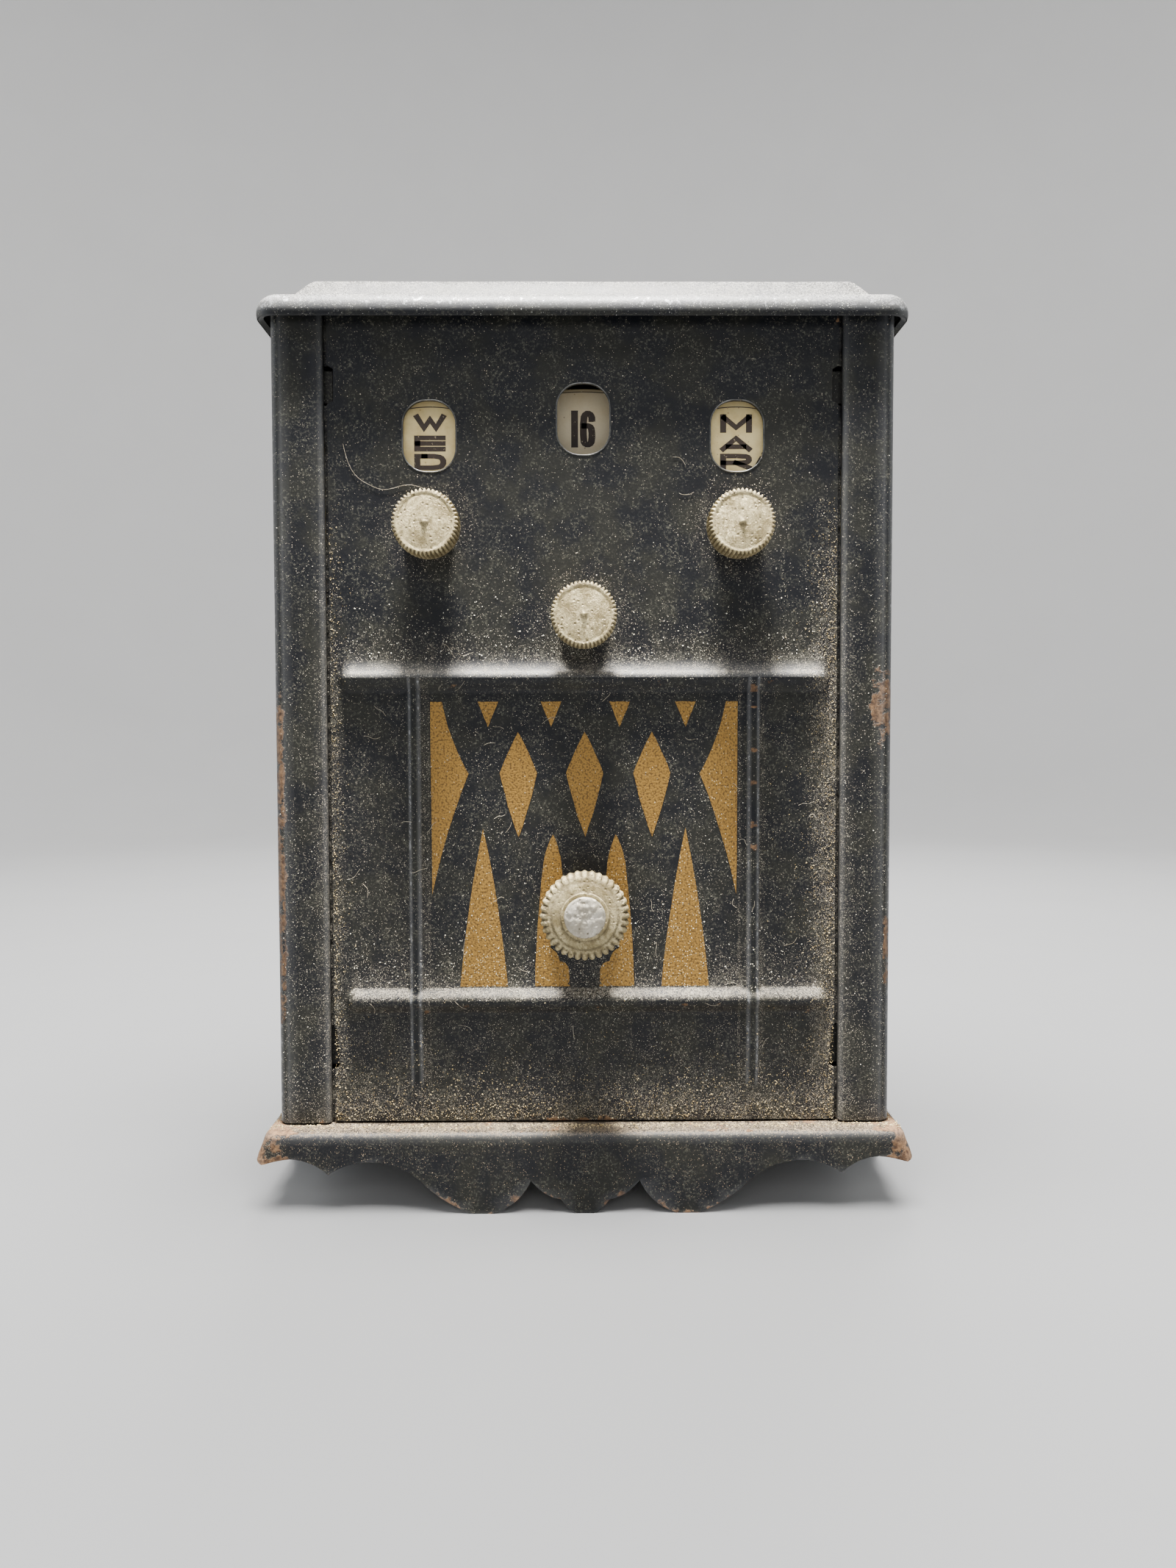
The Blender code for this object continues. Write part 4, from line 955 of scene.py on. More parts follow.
def case_wear(p, normal):
    """Dust thickens towards the foot and the lip gap; the corners are rubbed, flaked and rusty, and pale
    lines down the pilasters' front corners and lips are painted highlights.
    """
    corner = min(abs(abs(p.x) - HALF_W), 9.0)
    front = smoothstep(2.5, 0.0, p.y - FRONT)
    rise = p.z - LEDGE_Z
    dust = smoothstep(108.0, 2.0, rise) * 0.14 + smoothstep(7.0, 0.5, rise) * 0.3
    gap = abs(p.x) - LIP_X
    dust += front * smoothstep(1.6, 0.0, gap) * smoothstep(100.0, 48.0, rise) * 0.5
    rust = 0.10 + smoothstep(4.0, 0.5, rise) * 0.35
    flaking = 0.10
    # Flaked stretches: whether on the left pilaster, from and to a height, reach from the corner.
    for left, low, high, reach in ((1, 15.0, 64.0, 2.4), (0, 18.0, 31.0, 1.8), (0, 56.0, 66.0, 5.0)):
        if (p.x < 0) == bool(left):
            here = smoothstep(low - 3, low + 3, rise) * smoothstep(high + 3, high - 3, rise)
            flaking += 1.1 * here * smoothstep(reach, reach * 0.3, corner)
    rust += front * flaking
    rust += 0.25 * smoothstep(3.0, 0.4, min(p.y - FRONT, BACK - p.y)) * (1 - front)
    # Painted highlights: pale lines down the pilasters' outer front corners, their lips and the bends beside
    # the corners; the back corners are rubbed.
    rubbed_and_sheen = 0.9 * smoothstep(1.1, 0.1, corner) * smoothstep(1.8, 0.3, abs(p.y - FRONT - 0.45))
    rubbed_and_sheen += front * max(0.5 * smoothstep(1.0, 0.2, gap), 0.55 * smoothstep(0.5, 0.1, abs(corner - 1.6)))
    rubbed_and_sheen += 0.6 * smoothstep(1.3, 0.3, corner) * smoothstep(1.3, 0.3, abs(p.y - BACK))
    return dust, rust, rubbed_and_sheen


def add_floor_tabs():
    """The casing's tabs, bent in under the floor."""
    points, faces = [], []
    under = LEDGE_Z - SHEET - 0.3
    outer = HALF_W - 0.05
    for side in (-1, 1):
        for depth in (10.0, 34.0):
            y0, y1 = FRONT + depth, FRONT + depth + 6.0
            flat = (HALF_W - 4.5, y0, under - SHEET), (outer, y1, under)
            upright = (HALF_W - SHEET, y0, under - 0.1), (outer, y1, LEDGE_Z + 1.0)
            add_box(points, faces, side, *flat)
            add_box(points, faces, side, *upright)
    add_mesh("floor_tabs", points, faces, INNER_ENAMEL, smooth=30.0)


# The cornice and the plinth: both are trays pressed from one sheet.

COIN_SLOT = (0.0, FRONT + 30.0, 29.0, 2.8, 1.3)  # middle, size, corner radius


def tray_ring(outset, z, half_w, half_d, corner, step):
    """One outline of a tray, its four sides divided into the same number of parts at any outset."""
    radius = max(corner + outset, 0.25)
    outline = rounded_rectangle(0.0, MIDDLE_Y, 2 * (half_w + outset), 2 * (half_d + outset), radius)
    parts = (round(2 * half_d / step), round(2 * half_w / step)) * 2
    per_corner = len(outline) // 4
    ring = []
    for i, count in enumerate(parts):
        block = outline[i * per_corner:(i + 1) * per_corner]
        a, b = Vector(block[-1]), Vector(outline[(i + 1) * per_corner % len(outline)])
        ring += block + [tuple(a.lerp(b, j / count)) for j in range(1, count)]
    return [(x, y, z) for x, y in ring]


def add_tray(name, profile, half_w, half_d, corner, step, material, shape, **kw):
    """A tray from (outset, height) steps of its side and top; shape moves each point."""
    rings = [tray_ring(outset, z, half_w, half_d, corner, step) for outset, z in profile]
    n = len(rings[0])
    points = [shape(*p) for ring in rings for p in ring]
    faces = grid_faces(len(rings), n, wrap=True)
    faces.append(tuple(range((len(rings) - 1) * n, len(rings) * n)))
    obj = add_mesh(name, points, faces, material, **kw)
    thicken(obj)
    return obj


def cornice_profile():
    """From the lip's lower edge over its nose, the shelf and the cove to the raised panel."""
    out, lip = CORNICE_HIGH.x - HALF_W, CORNICE_LOW.z
    profile = [(out - 0.42, lip), (out - 0.25, lip + 0.3)]
    profile += arc(out - 2.6, lip + 0.95, 2.6, -18, 108, 14, tall=2.65)
    shelf_z = lip + 3.6
    profile += [(-1.4, shelf_z), (-1.8, shelf_z + 0.03), (-2.3, shelf_z + 0.2), (-2.8, shelf_z + 0.65)]
    profile += [(-3.5, shelf_z + 1.55), (-4.3, shelf_z + 2.55), (-4.9, shelf_z + 3.25), (-5.4, shelf_z + 3.7)]
    profile += [(-5.9, TOP_Z - 0.22), (-6.5, TOP_Z - 0.08), (-7.2, TOP_Z)]
    profile += [(-inset, TOP_Z) for inset in (9.0, 11.0, 13.0, 15.0, 17.0)]
    return profile


def make_cornice():
    def shape(x, y, z):
        sag = ripple(x, y, 4.0, 18.0, 0.09) * smoothstep(CORNICE_LOW.z, CORNICE_LOW.z + 4, z)
        return x, y, z - abs(sag)

    cornice = add_tray(
        "rolled_cornice", cornice_profile(), HALF_W, HALF_D, 1.5, 3.0, CORNICE_ENAMEL, shape,
        replaces="top_cornice",
    )
    outline = rounded_rectangle(*COIN_SLOT)
    cut(cornice, [outline], "z", TOP_Z - 3, TOP_Z + 2)
    smooth_shade(cornice, 42.0)
    paint(cornice, cornice_wear)
    add_ring_wire("coin_slot_edge", [(x, y, TOP_Z - 0.17) for x, y in outline], 0.16, 3)


def cornice_wear(p, normal):
    out = max(abs(p.x) - HALF_W, abs(p.y - MIDDLE_Y) - HALF_D)
    front_lip = smoothstep(0.2, 1.2, out)
    rise = p.z - CORNICE_LOW.z
    dust = 0.55 * smoothstep(0.5, 2.2, rise)
    dust += 0.25 * smoothstep(-0.5, -2.6, out) * smoothstep(-4.5, -2.8, out)
    rust = 0.12 + 0.5 * smoothstep(0.8, 0.0, rise)
    at_corner = smoothstep(3.0, 0.5, math.hypot(HALF_W - abs(p.x), HALF_D - abs(p.y - MIDDLE_Y)))
    rust += 0.45 * at_corner * front_lip
    # Third value: painted highlights on the upper half of the lip's nose and on its corners, as pale rubbed
    # metal.
    return dust, rust, 0.7 * front_lip * smoothstep(0.3, 1.4, rise) + 0.5 * at_corner


# Half of the apron's edge, from its middle: (across, height, bow).
FRONT_SCROLL = [
    (0.0, 0.0, 0), (1.2, 0.0, -0.25), (3.5, 2.1, -0.1), (5.5, 2.75, -0.15), (7.85, 4.85, -0.85),
    (13.4, 0.0, 0), (16.2, 0.0, -0.35), (22.6, 3.7, 1.0), (31.2, 7.7, 0.45), (37.1, 5.8, 0.55),
    (42.5, 8.15, 0.5), (50.0, 5.6, 0),
]
SIDE_SCROLL = [
    (0.0, 0.0, 0), (2.0, 0.0, -0.6), (7.0, 3.4, 0.6), (13.0, 6.9, 0.4), (18.5, 6.0, 0.6),
    (22.8, 8.2, 0.3), (29.8, 6.4, 0),
]


def scroll_outline(scroll, middle):
    """Everything under the apron's edge."""
    half = bowed(scroll, 10, closed=False)
    edge = [(-x, z) for x, z in reversed(half) if x > 0] + half
    edge = [(middle + x, z) for x, z in edge]
    return edge + [(edge[-1][0], -6.0), (edge[0][0], -6.0)]


def make_plinth():
    out_w = PLINTH_HIGH.x - HALF_W
    out_d = PLINTH_HIGH.y - BACK
    out = (out_w + out_d) / 2
    round_r = 1.0
    profile = [(out, z) for z in (-2.0, 0.6, 2.2, 3.8, 5.4, 7.0, 8.6, 10.0)]
    profile += arc(out - round_r, LEDGE_Z - round_r, round_r, 0)
    profile += [(out - inset, LEDGE_Z) for inset in (2.2, 2.9, 3.6, 4.6, 6.5, 10.0, 16.0)]

    def shape(x, y, z):
        """The ends flare out towards the foot, and the skirt is a little wavy."""
        skirt = smoothstep(LEDGE_Z - 0.3, LEDGE_Z - 2.0, z)
        wave = ripple(x, y, z, 14.0, 0.10) * skirt
        side = 1.0 if abs(x) > HALF_W + out_w - 0.6 else 0.0
        wave_x = math.copysign(-abs(wave), x) * side
        wave_y = math.copysign(-abs(wave), y - MIDDLE_Y) * (1.0 - side)
        flare = 1.5 * smoothstep(6.5, LEDGE_Z, z) * smoothstep(HALF_W - 1.5, HALF_W + 1.5, abs(x))
        droop = -abs(ripple(x, y, 1.0, 12.0, 0.08)) * (1.0 - skirt)
        return x - math.copysign(flare, x) + wave_x, y + wave_y, z + droop

    half_w, half_d = HALF_W + out_w - out, HALF_D + out_d - out
    plinth = add_tray(
        "scrolled_plinth", profile, half_w, half_d, 2.2 - out, 2.4, PLINTH_ENAMEL, shape,
        replaces="base_plinth",
    )
    reach = 2.6
    front = scroll_outline(FRONT_SCROLL, 0.0)
    side = scroll_outline(SIDE_SCROLL, MIDDLE_Y)
    cut(plinth, [front], "y", PLINTH_LOW.y - 1, PLINTH_LOW.y + reach)
    cut(plinth, [front], "y", PLINTH_HIGH.y - reach, PLINTH_HIGH.y + 1)
    cut(plinth, [side], "x", PLINTH_HIGH.x - reach, PLINTH_HIGH.x + 1)
    cut(plinth, [side], "x", PLINTH_LOW.x - 1, PLINTH_LOW.x + reach)
    smooth_shade(plinth, 42.0)
    paint(plinth, plinth_wear)


def plinth_wear(p, normal):
    """The ledge is thick with yellow dust; the ends and the cut edge are rusty. A painted highlight runs
    along the ledge's rounded front edge.
    """
    ledge = smoothstep(0.6, 0.95, normal.z)
    dust = 0.6 * ledge + 0.14 * smoothstep(3.0, LEDGE_Z, p.z) + 0.07
    from_face = min(p.y - PLINTH_LOW.y, PLINTH_HIGH.y - p.y)
    end = smoothstep(40.0, 46.5, abs(p.x)) * smoothstep(9.0, 2.0, from_face)
    dust += 0.4 * end
    rust = 0.12 + 0.75 * end + 0.40 * ledge
    edge = apron_edge(p)
    rust += 0.5 * smoothstep(1.2, 0.0, edge)
    rubbed_and_sheen = 0.3 * smoothstep(0.6, 0.05, edge)
    # Painted highlight along the ledge's rounded front edge.
    rubbed_and_sheen += 0.35 * smoothstep(1.4, 0.2, abs(p.z - LEDGE_Z + 0.5)) * (1 - ledge)
    return dust, rust, rubbed_and_sheen


def apron_edge(p):
    """How far a point of the skirt lies above the scroll's edge."""
    on_side = abs(p.x) > PLINTH_HIGH.x - 1.5
    run, scroll = (abs(p.y - MIDDLE_Y), SIDE_SCROLL) if on_side else (abs(p.x), FRONT_SCROLL)
    for (x0, z0, _), (x1, z1, _) in zip(scroll, scroll[1:]):
        if x0 <= run <= x1:
            return p.z - (z0 + (z1 - z0) * (run - x0) / (x1 - x0))
    return p.z - 6.4


# Knobs. Their profiles are (radius, forward of the pilasters' face).

SMALL_TEETH, SMALL_BAND = 48, 4.1  # ridges of the knurling, and the radius inside them
LOCK_TEETH, LOCK_BAND = 36, 5.1


def turned_extent(node):
    """How far forward a turned node's back and front lie, and its radius."""
    low, high = node_box(node)
    return FRONT - high.y, FRONT - low.y, (high.x - low.x) / 2


def ridge_share(angle, count, sharpness):
    """1 on the crest of a ridge of the knurling, 0 in the valley."""
    return abs(math.cos(angle * count / 2)) ** sharpness


def knurling(count, sink, low, high, sharpness, inner, rim):
    """Rounded ridges round a rim, between two forward heights. The valleys squeeze the band
    between the inner radius and the rim."""

    def shape(angle, radius, forward):
        if radius < inner:
            return radius
        inside = smoothstep(low - 0.12, low + 0.12, forward)
        inside *= smoothstep(high + 0.12, high - 0.12, forward)
        keep = 1 - inside * (1 - ridge_share(angle, count, sharpness)) * sink / (rim - inner)
        return inner + (radius - inner) * keep

    return shape


def valley_grime_and_shade(p, axis, count, inner):
    """Grime and painted shade in the knurling's valleys."""
    x, z = p.x - axis.x, p.z - axis.z
    valley = 1 - ridge_share(math.atan2(z, x), count, 1.5)
    return valley * smoothstep(inner - 0.1, inner + 0.15, math.hypot(x, z))


def make_small_knob(label, axis):
    back, front, rim = turned_extent(f"{label}_knob")
    face = [(0.02, front), (0.2, front - 0.04), (0.38, front - 0.17), (0.62, front - 0.25)]
    face += [(2.2, front - 0.27), (3.4, front - 0.32), (3.85, front - 0.36), (4.02, front - 0.30)]
    face += [(4.35, front - 0.32), (4.55, front - 0.42), (rim, front - 0.66)]
    side = [(rim, front - 0.66), (rim, back + 0.95), (rim - 0.12, back + 0.72), (rim - 0.12, back + 0.15)]
    side += [(rim - 0.3, back), (1.6, back), (1.6, back + 3.8), (0.02, back + 3.8)]
    profile = fine_profile(face, 0.2)[:-1] + fine_profile(side, 0.4)
    ridges = knurling(SMALL_TEETH, 0.46, back + 0.95, front - 0.1, 0.9, SMALL_BAND, rim)
    knob = add_turned(
        f"{label}_knurled_knob", axis, FRONT, profile, 7 * SMALL_TEETH, NICKEL, f"{label}_dial", ridges,
        replaces=f"{label}_knob", slot="nickel",
    )
    smooth_shade(knob, 40.0)

    def wear(p, normal):
        r = math.hypot(p.x - axis.x, p.z - axis.z)
        forward = FRONT - p.y
        valley = valley_grime_and_shade(p, axis, SMALL_TEETH, SMALL_BAND)
        pip = smoothstep(0.9, 0.5, r) * smoothstep(0.2, 0.4, r) * 0.5
        # Grime and painted shade: in the knurling's valleys, in a ring round the pip, and darker towards the
        # knob's back by the plate.
        return max(valley, pip, 0.6 * smoothstep(front - 2.0, back, forward)), 0.0, 0.0

    paint(knob, wear)


def make_lock_knob():
    back, front, rim = turned_extent("lock_knob")
    head_back = front - 3.4
    face = [(2.55, front - 0.5), (3.1, front - 0.42), (3.3, front - 0.45), (3.42, front - 0.62)]
    face += [(3.7, front - 0.66), (4.6, front - 0.74), (4.75, front - 0.84), (5.3, front - 0.88)]
    face += [(5.7, front - 1.0), (rim, front - 1.45)]
    side = [(rim, front - 1.45), (rim, head_back + 0.35), (rim - 0.2, head_back + 0.1)]
    side += [(rim - 0.6, head_back), (4.6, head_back), (4.25, head_back - 0.3), (4.2, head_back - 0.8)]
    side += [(4.2, back + 0.2), (4.05, back), (2.55, back), (2.55, front - 0.5)]
    profile = fine_profile(face, 0.2)[:-1] + fine_profile(side, 0.35)[:-1]
    ridges = knurling(LOCK_TEETH, 0.55, head_back + 0.2, front - 0.85, 0.6, LOCK_BAND, rim)
    knob = add_turned(
        "lock_knurled_knob", LOCK, FRONT, profile, 8 * LOCK_TEETH, NICKEL, "lock", ridges, hollow=True,
        replaces="lock_knob", slot="nickel",
    )
    smooth_shade(knob, 40.0)

    def wear(p, normal):
        r = math.hypot(p.x - LOCK.x, p.z - LOCK.z)
        forward = FRONT - p.y
        valley = valley_grime_and_shade(p, LOCK, LOCK_TEETH, LOCK_BAND)
        step_edge = max(smoothstep(0.3, 0.05, abs(r - line)) for line in (3.5, 4.72)) * 0.7
        neck = 0.75 * smoothstep(head_back + 0.3, head_back - 0.5, forward)
        # Grime and painted shade: in the valleys, along the face's steps, and on the neck behind the head.
        return max(valley, step_edge if forward > front - 1.0 else 0.0, neck), 0.0, 0.0

    paint(knob, wear)


def make_lock_shaft():
    """The shaft, with its front end peened over the knob into an uneven, bright dome."""
    back, front, radius = turned_extent("lock_shaft")
    dome = [(0.02, front - 0.08), (0.6, front), (1.2, front - 0.02), (1.8, front - 0.06)]
    dome += [(2.35, front - 0.14), (2.75, front - 0.3), (2.9, front - 0.45), (2.85, front - 0.55)]
    dome.append((radius, front - 0.62))
    profile = fine_profile(dome, 0.16) + [(radius, front - 1.4), (radius, front - 8.0)]
    profile += [(radius, back + 0.3), (radius - 0.3, back), (0.02, back)]
    shaft = add_turned(
        "lock_shaft_peened", LOCK, FRONT, profile, 72, PEENED, "lock",
        replaces="lock_shaft", slot="steel",
    )
    for vertex in shaft.data.vertices:
        p = vertex.co / MM
        if FRONT - p.y > front - 0.5:
            hammer = noise.noise(Vector((p.x, 2.0, p.z)) * 1.6)
            hammer += 0.5 * noise.noise(Vector((p.x, 7.0, p.z)) * 3.7)
            vertex.co.y += max(-0.03, 0.16 * hammer + 0.05) * MM
    smooth_shade(shaft, 40.0)
    paint(shaft, lambda p, n: (0.12 if FRONT - p.y > front - 0.4 else 0.5, 0.0, 0.0))


# Cards and their printing.

DAYS = ["WED", "THU", "FRI", "SAT", "SUN", "MON", "TUE"]
MONTHS = ["MAR", "APR", "MAY", "JUN", "JUL", "AUG", "SEP", "OCT", "NOV", "DEC", "JAN", "FEB"]
DATES = [str((15 + i) % 31 + 1) for i in range(31)]

# Characters as pen strokes in a unit square: (across, up).
LETTERS = {
    "A": [[(0, 0), (0.5, 0.95), (1, 0)], [(0.2, 0.2), (0.8, 0.2)]],
    "B": [[(0, 0), (0, 1), (0.8, 1), (0.97, 0.85), (0.97, 0.65), (0.8, 0.5), (0, 0.5)],
          [(0.8, 0.5), (1, 0.35), (1, 0.15), (0.8, 0), (0, 0)]],
    "C": [[(1, 0.75), (1, 0.85), (0.85, 1), (0.15, 1), (0, 0.8), (0, 0.2), (0.15, 0), (0.85, 0),
           (1, 0.15), (1, 0.25)]],
    "D": [[(0.3, 1), (0, 1), (0, 0), (0.8, 0), (1, 0.25), (1, 0.75), (0.8, 1), (0.25, 1)]],
    "E": [[(1, 1), (0, 1), (0, 0), (1, 0)], [(0, 0.5), (1, 0.5)]],
    "F": [[(1, 1), (0, 1), (0, 0)], [(0, 0.5), (0.9, 0.5)]],
    "G": [[(1, 0.8), (0.85, 1), (0.15, 1), (0, 0.8), (0, 0.2), (0.15, 0), (1, 0), (1, 0.45), (0.55, 0.45)]],
    "H": [[(0, 0), (0, 1)], [(1, 0), (1, 1)], [(0, 0.5), (1, 0.5)]],
    "I": [[(0.5, 0), (0.5, 1)]],
    "J": [[(0.9, 1), (0.9, 0.2), (0.7, 0), (0.2, 0), (0, 0.2), (0, 0.35)]],
    "L": [[(0, 1), (0, 0), (1, 0)]],
    "M": [[(0, 0), (0, 1)], [(1, 0), (1, 1)], [(0.03, 0.95), (0.5, 0.2), (0.97, 0.95)]],
    "N": [[(0, 0), (0, 1)], [(1, 0), (1, 1)], [(0.02, 0.95), (0.98, 0.05)]],
    "O": [[(0.5, 0), (0.15, 0), (0, 0.2), (0, 0.8), (0.15, 1), (0.85, 1), (1, 0.8), (1, 0.2), (0.85, 0),
           (0.4, 0)]],
    "P": [[(0, 0), (0, 1), (0.85, 1), (1, 0.87), (1, 0.55), (0.85, 0.42), (0, 0.42)]],
    "R": [[(0, 0), (0, 1), (0.85, 1), (1, 0.87), (1, 0.55), (0.85, 0.42), (0, 0.42)], [(0.5, 0.42), (1, 0)]],
    "S": [[(1, 0.8), (0.85, 1), (0.15, 1), (0, 0.87), (0, 0.63), (0.15, 0.5), (0.85, 0.5),
           (1, 0.37), (1, 0.13), (0.85, 0), (0.15, 0), (0, 0.2)]],
    "T": [[(0, 1), (1, 1)], [(0.5, 0), (0.5, 1)]],
    "U": [[(0, 1), (0, 0.2), (0.15, 0), (0.85, 0), (1, 0.2), (1, 1)]],
    "V": [[(0, 1), (0.5, 0.1), (1, 1)]],
    "W": [[(0, 1), (0.27, 0.17), (0.5, 0.8), (0.73, 0.17), (1, 1)]],
    "Y": [[(0, 1), (0.5, 0.5), (1, 1)], [(0.5, 0), (0.5, 0.5)]],
    "0": [[(0.5, 0), (0.25, 0), (0, 0.13), (0, 0.87), (0.25, 1), (0.75, 1), (1, 0.87), (1, 0.13),
           (0.75, 0), (0.4, 0)]],
    "1": [[(0.5, 0), (0.5, 1)]],
    "2": [[(0, 0.8), (0, 0.88), (0.25, 1), (0.75, 1), (1, 0.88), (1, 0.66), (0, 0.1), (0, 0), (1, 0)]],
    "3": [[(0, 0.8), (0, 0.88), (0.25, 1), (0.75, 1), (1, 0.88), (1, 0.66), (0.75, 0.54), (0.4, 0.54)],
          [(0.75, 0.54), (1, 0.42), (1, 0.12), (0.75, 0), (0.25, 0), (0, 0.12), (0, 0.2)]],
    "4": [[(0.72, 0), (0.72, 1)], [(0.6, 0.93), (0, 0.3), (1, 0.3)]],
    "5": [[(0.95, 1), (0.05, 1), (0.05, 0.58), (0.75, 0.6), (1, 0.48), (1, 0.12), (0.75, 0), (0.25, 0),
           (0, 0.12)]],
    "6": [[(1, 0.82), (1, 0.88), (0.75, 1), (0.3, 1), (0, 0.84), (0, 0.12), (0.25, 0), (0.75, 0),
           (1, 0.12), (1, 0.48), (0.75, 0.6), (0.1, 0.6)]],
    "7": [[(0, 1), (1, 1), (0.35, 0)]],
    "8": [[(0.5, 0.54), (0.25, 0.54), (0.04, 0.64), (0.04, 0.9), (0.25, 1), (0.75, 1), (0.96, 0.9),
           (0.96, 0.64), (0.75, 0.54), (0.4, 0.54)],
          [(0.5, 0.54), (0.25, 0.54), (0, 0.43), (0, 0.1), (0.25, 0), (0.75, 0), (1, 0.1), (1, 0.43),
           (0.75, 0.54)]],
    "9": [[(0, 0.18), (0, 0.12), (0.25, 0), (0.7, 0), (1, 0.16), (1, 0.88), (0.75, 1), (0.25, 1),
           (0, 0.88), (0, 0.52), (0.25, 0.4), (0.9, 0.4)]],
}


def soften(path):
    """Cuts a pen stroke's blunt corners once more."""
    soft = [path[0]]
    for a, b, c in zip(path, path[1:], path[2:]):
        before, after = (b - a), (c - b)
        if before.angle(after) < math.radians(75):
            soft += [b - before * 0.28, b + after * 0.28]
        else:
            soft.append(b)
    return soft + [path[-1]]


def stroke(path, pen):
    """The left and right edge points of a pen stroke, lengthened by half its width at both ends."""
    path = soften([Vector(p) for p in path])
    path[0] = path[0] - (path[1] - path[0]).normalized() * pen / 2
    path[-1] = path[-1] + (path[-1] - path[-2]).normalized() * pen / 2
    left, right = [], []
    for i, p in enumerate(path):
        before = (p - path[i - 1]).normalized() if i else None
        after = (path[i + 1] - p).normalized() if i < len(path) - 1 else None
        before, after = before or after, after or before
        along = (before + after).normalized()
        across = Vector((-along.y, along.x)) * pen / 2 / max(0.4, along.dot(after))
        across = Vector((across.x * 1.2, across.y * 0.92))  # uprights are heavier than bars
        left.append(p + across)
        right.append(p - across)
    return left, right


def print_character(points, faces, character, place, size, pen, turn, axis, y):
    """Adds one character, centred at (across, out) from the axis, turned round the card."""
    width, height = size[0] - pen, size[1] - pen
    c, s = math.cos(turn), math.sin(turn)
    for path in LETTERS[character]:
        scaled = [((u - 0.5) * width, (v - 0.5) * height) for u, v in path]
        left, right = stroke(scaled, pen)
        start = len(points)
        for side in left + right:
            a, b = place[0] + side.x, place[1] + side.y
            points.append((axis.x + a * c - b * s, y, axis.z + a * s + b * c))
        n = len(left)
        faces += [(start + i, start + i + 1, start + n + i + 1, start + n + i) for i in range(n - 1)]


def ring_band(points, faces, axis, inner, outer, y, count=180):
    """Adds a thin printed circle."""
    start = len(points)
    for i in range(count):
        a = math.tau * i / count
        for r in (inner, outer):
            points.append((axis.x + r * math.cos(a), y, axis.z + r * math.sin(a)))
    for i in range(count):
        j = (i + 1) % count
        faces.append((start + 2 * i, start + 2 * i + 1, start + 2 * j + 1, start + 2 * j))


def make_card(label, axis, radius, y0, y1, entries, line_r, material, print_entry):
    """A round card from y0 to y1 and its print; the entry at the top shows in the window."""
    profile = [(radius, -y0 - 0.04), (radius, -y1 + 0.04), (radius - 0.04, -y1), (radius * 0.6, -y1)]
    profile += [(1.6, -y1), (1.6, -y0), (radius * 0.45, -y0), (radius * 0.8, -y0), (line_r, -y0)]
    profile.append((radius - 0.04, -y0))
    dial = f"{label}_dial"
    card = add_turned(
        f"{label}_card", axis, 0.0, profile, 160, material, dial, hollow=True,
        replaces=f"{label}_disc", slot="card",
    )

    def wear(p, normal):
        # Darker brown beyond the printed ring, which darkens the top of each window.
        return smoothstep(line_r - 0.3, line_r + 0.3, math.hypot(p.x - axis.x, p.z - axis.z)), 0, 0

    paint(card, wear)
    points, faces = [], []
    skin = y0 - 0.02
    for i, entry in enumerate(entries):
        print_entry(points, faces, entry, math.tau * i / len(entries), axis, skin)
    ring_band(points, faces, axis, line_r, line_r + 0.14, skin)
    ink = add_mesh(f"{label}_print", points, faces, INK, dial, slot="card", smooth=None)
    face_front(ink.data)


def print_name(points, faces, name, turn, axis, y):
    """Three wide letters, one under the other, each at its own radius and height."""
    width, pen = 4.5, 0.74
    for letter, out, height in zip(name, (15.35, 12.5, 9.85), (2.65, 2.35, 2.4)):
        print_character(points, faces, letter, (0.0, out), (width, height), pen, turn, axis, y)


def print_date(points, faces, number, turn, axis, y):
    """One or two narrow figures, side by side."""
    out, height, pen, gap = 28.25, 5.4, 0.84, 0.42
    widths = [0.92 if c == "1" else 2.1 for c in number]
    cursor = -(sum(widths) + gap * (len(widths) - 1)) / 2
    for c, width in zip(number, widths):
        place = (cursor + width / 2, out)
        print_character(points, faces, c, place, (width, height), pen, turn, axis, y)
        cursor += width + gap


def face_front(mesh):
    """Turns a flat print's faces to the front."""
    with editing(mesh) as bm:
        for face in bm.faces:
            face.normal_update()
            if face.normal.y > 0:
                face.normal_flip()


# The rear door.


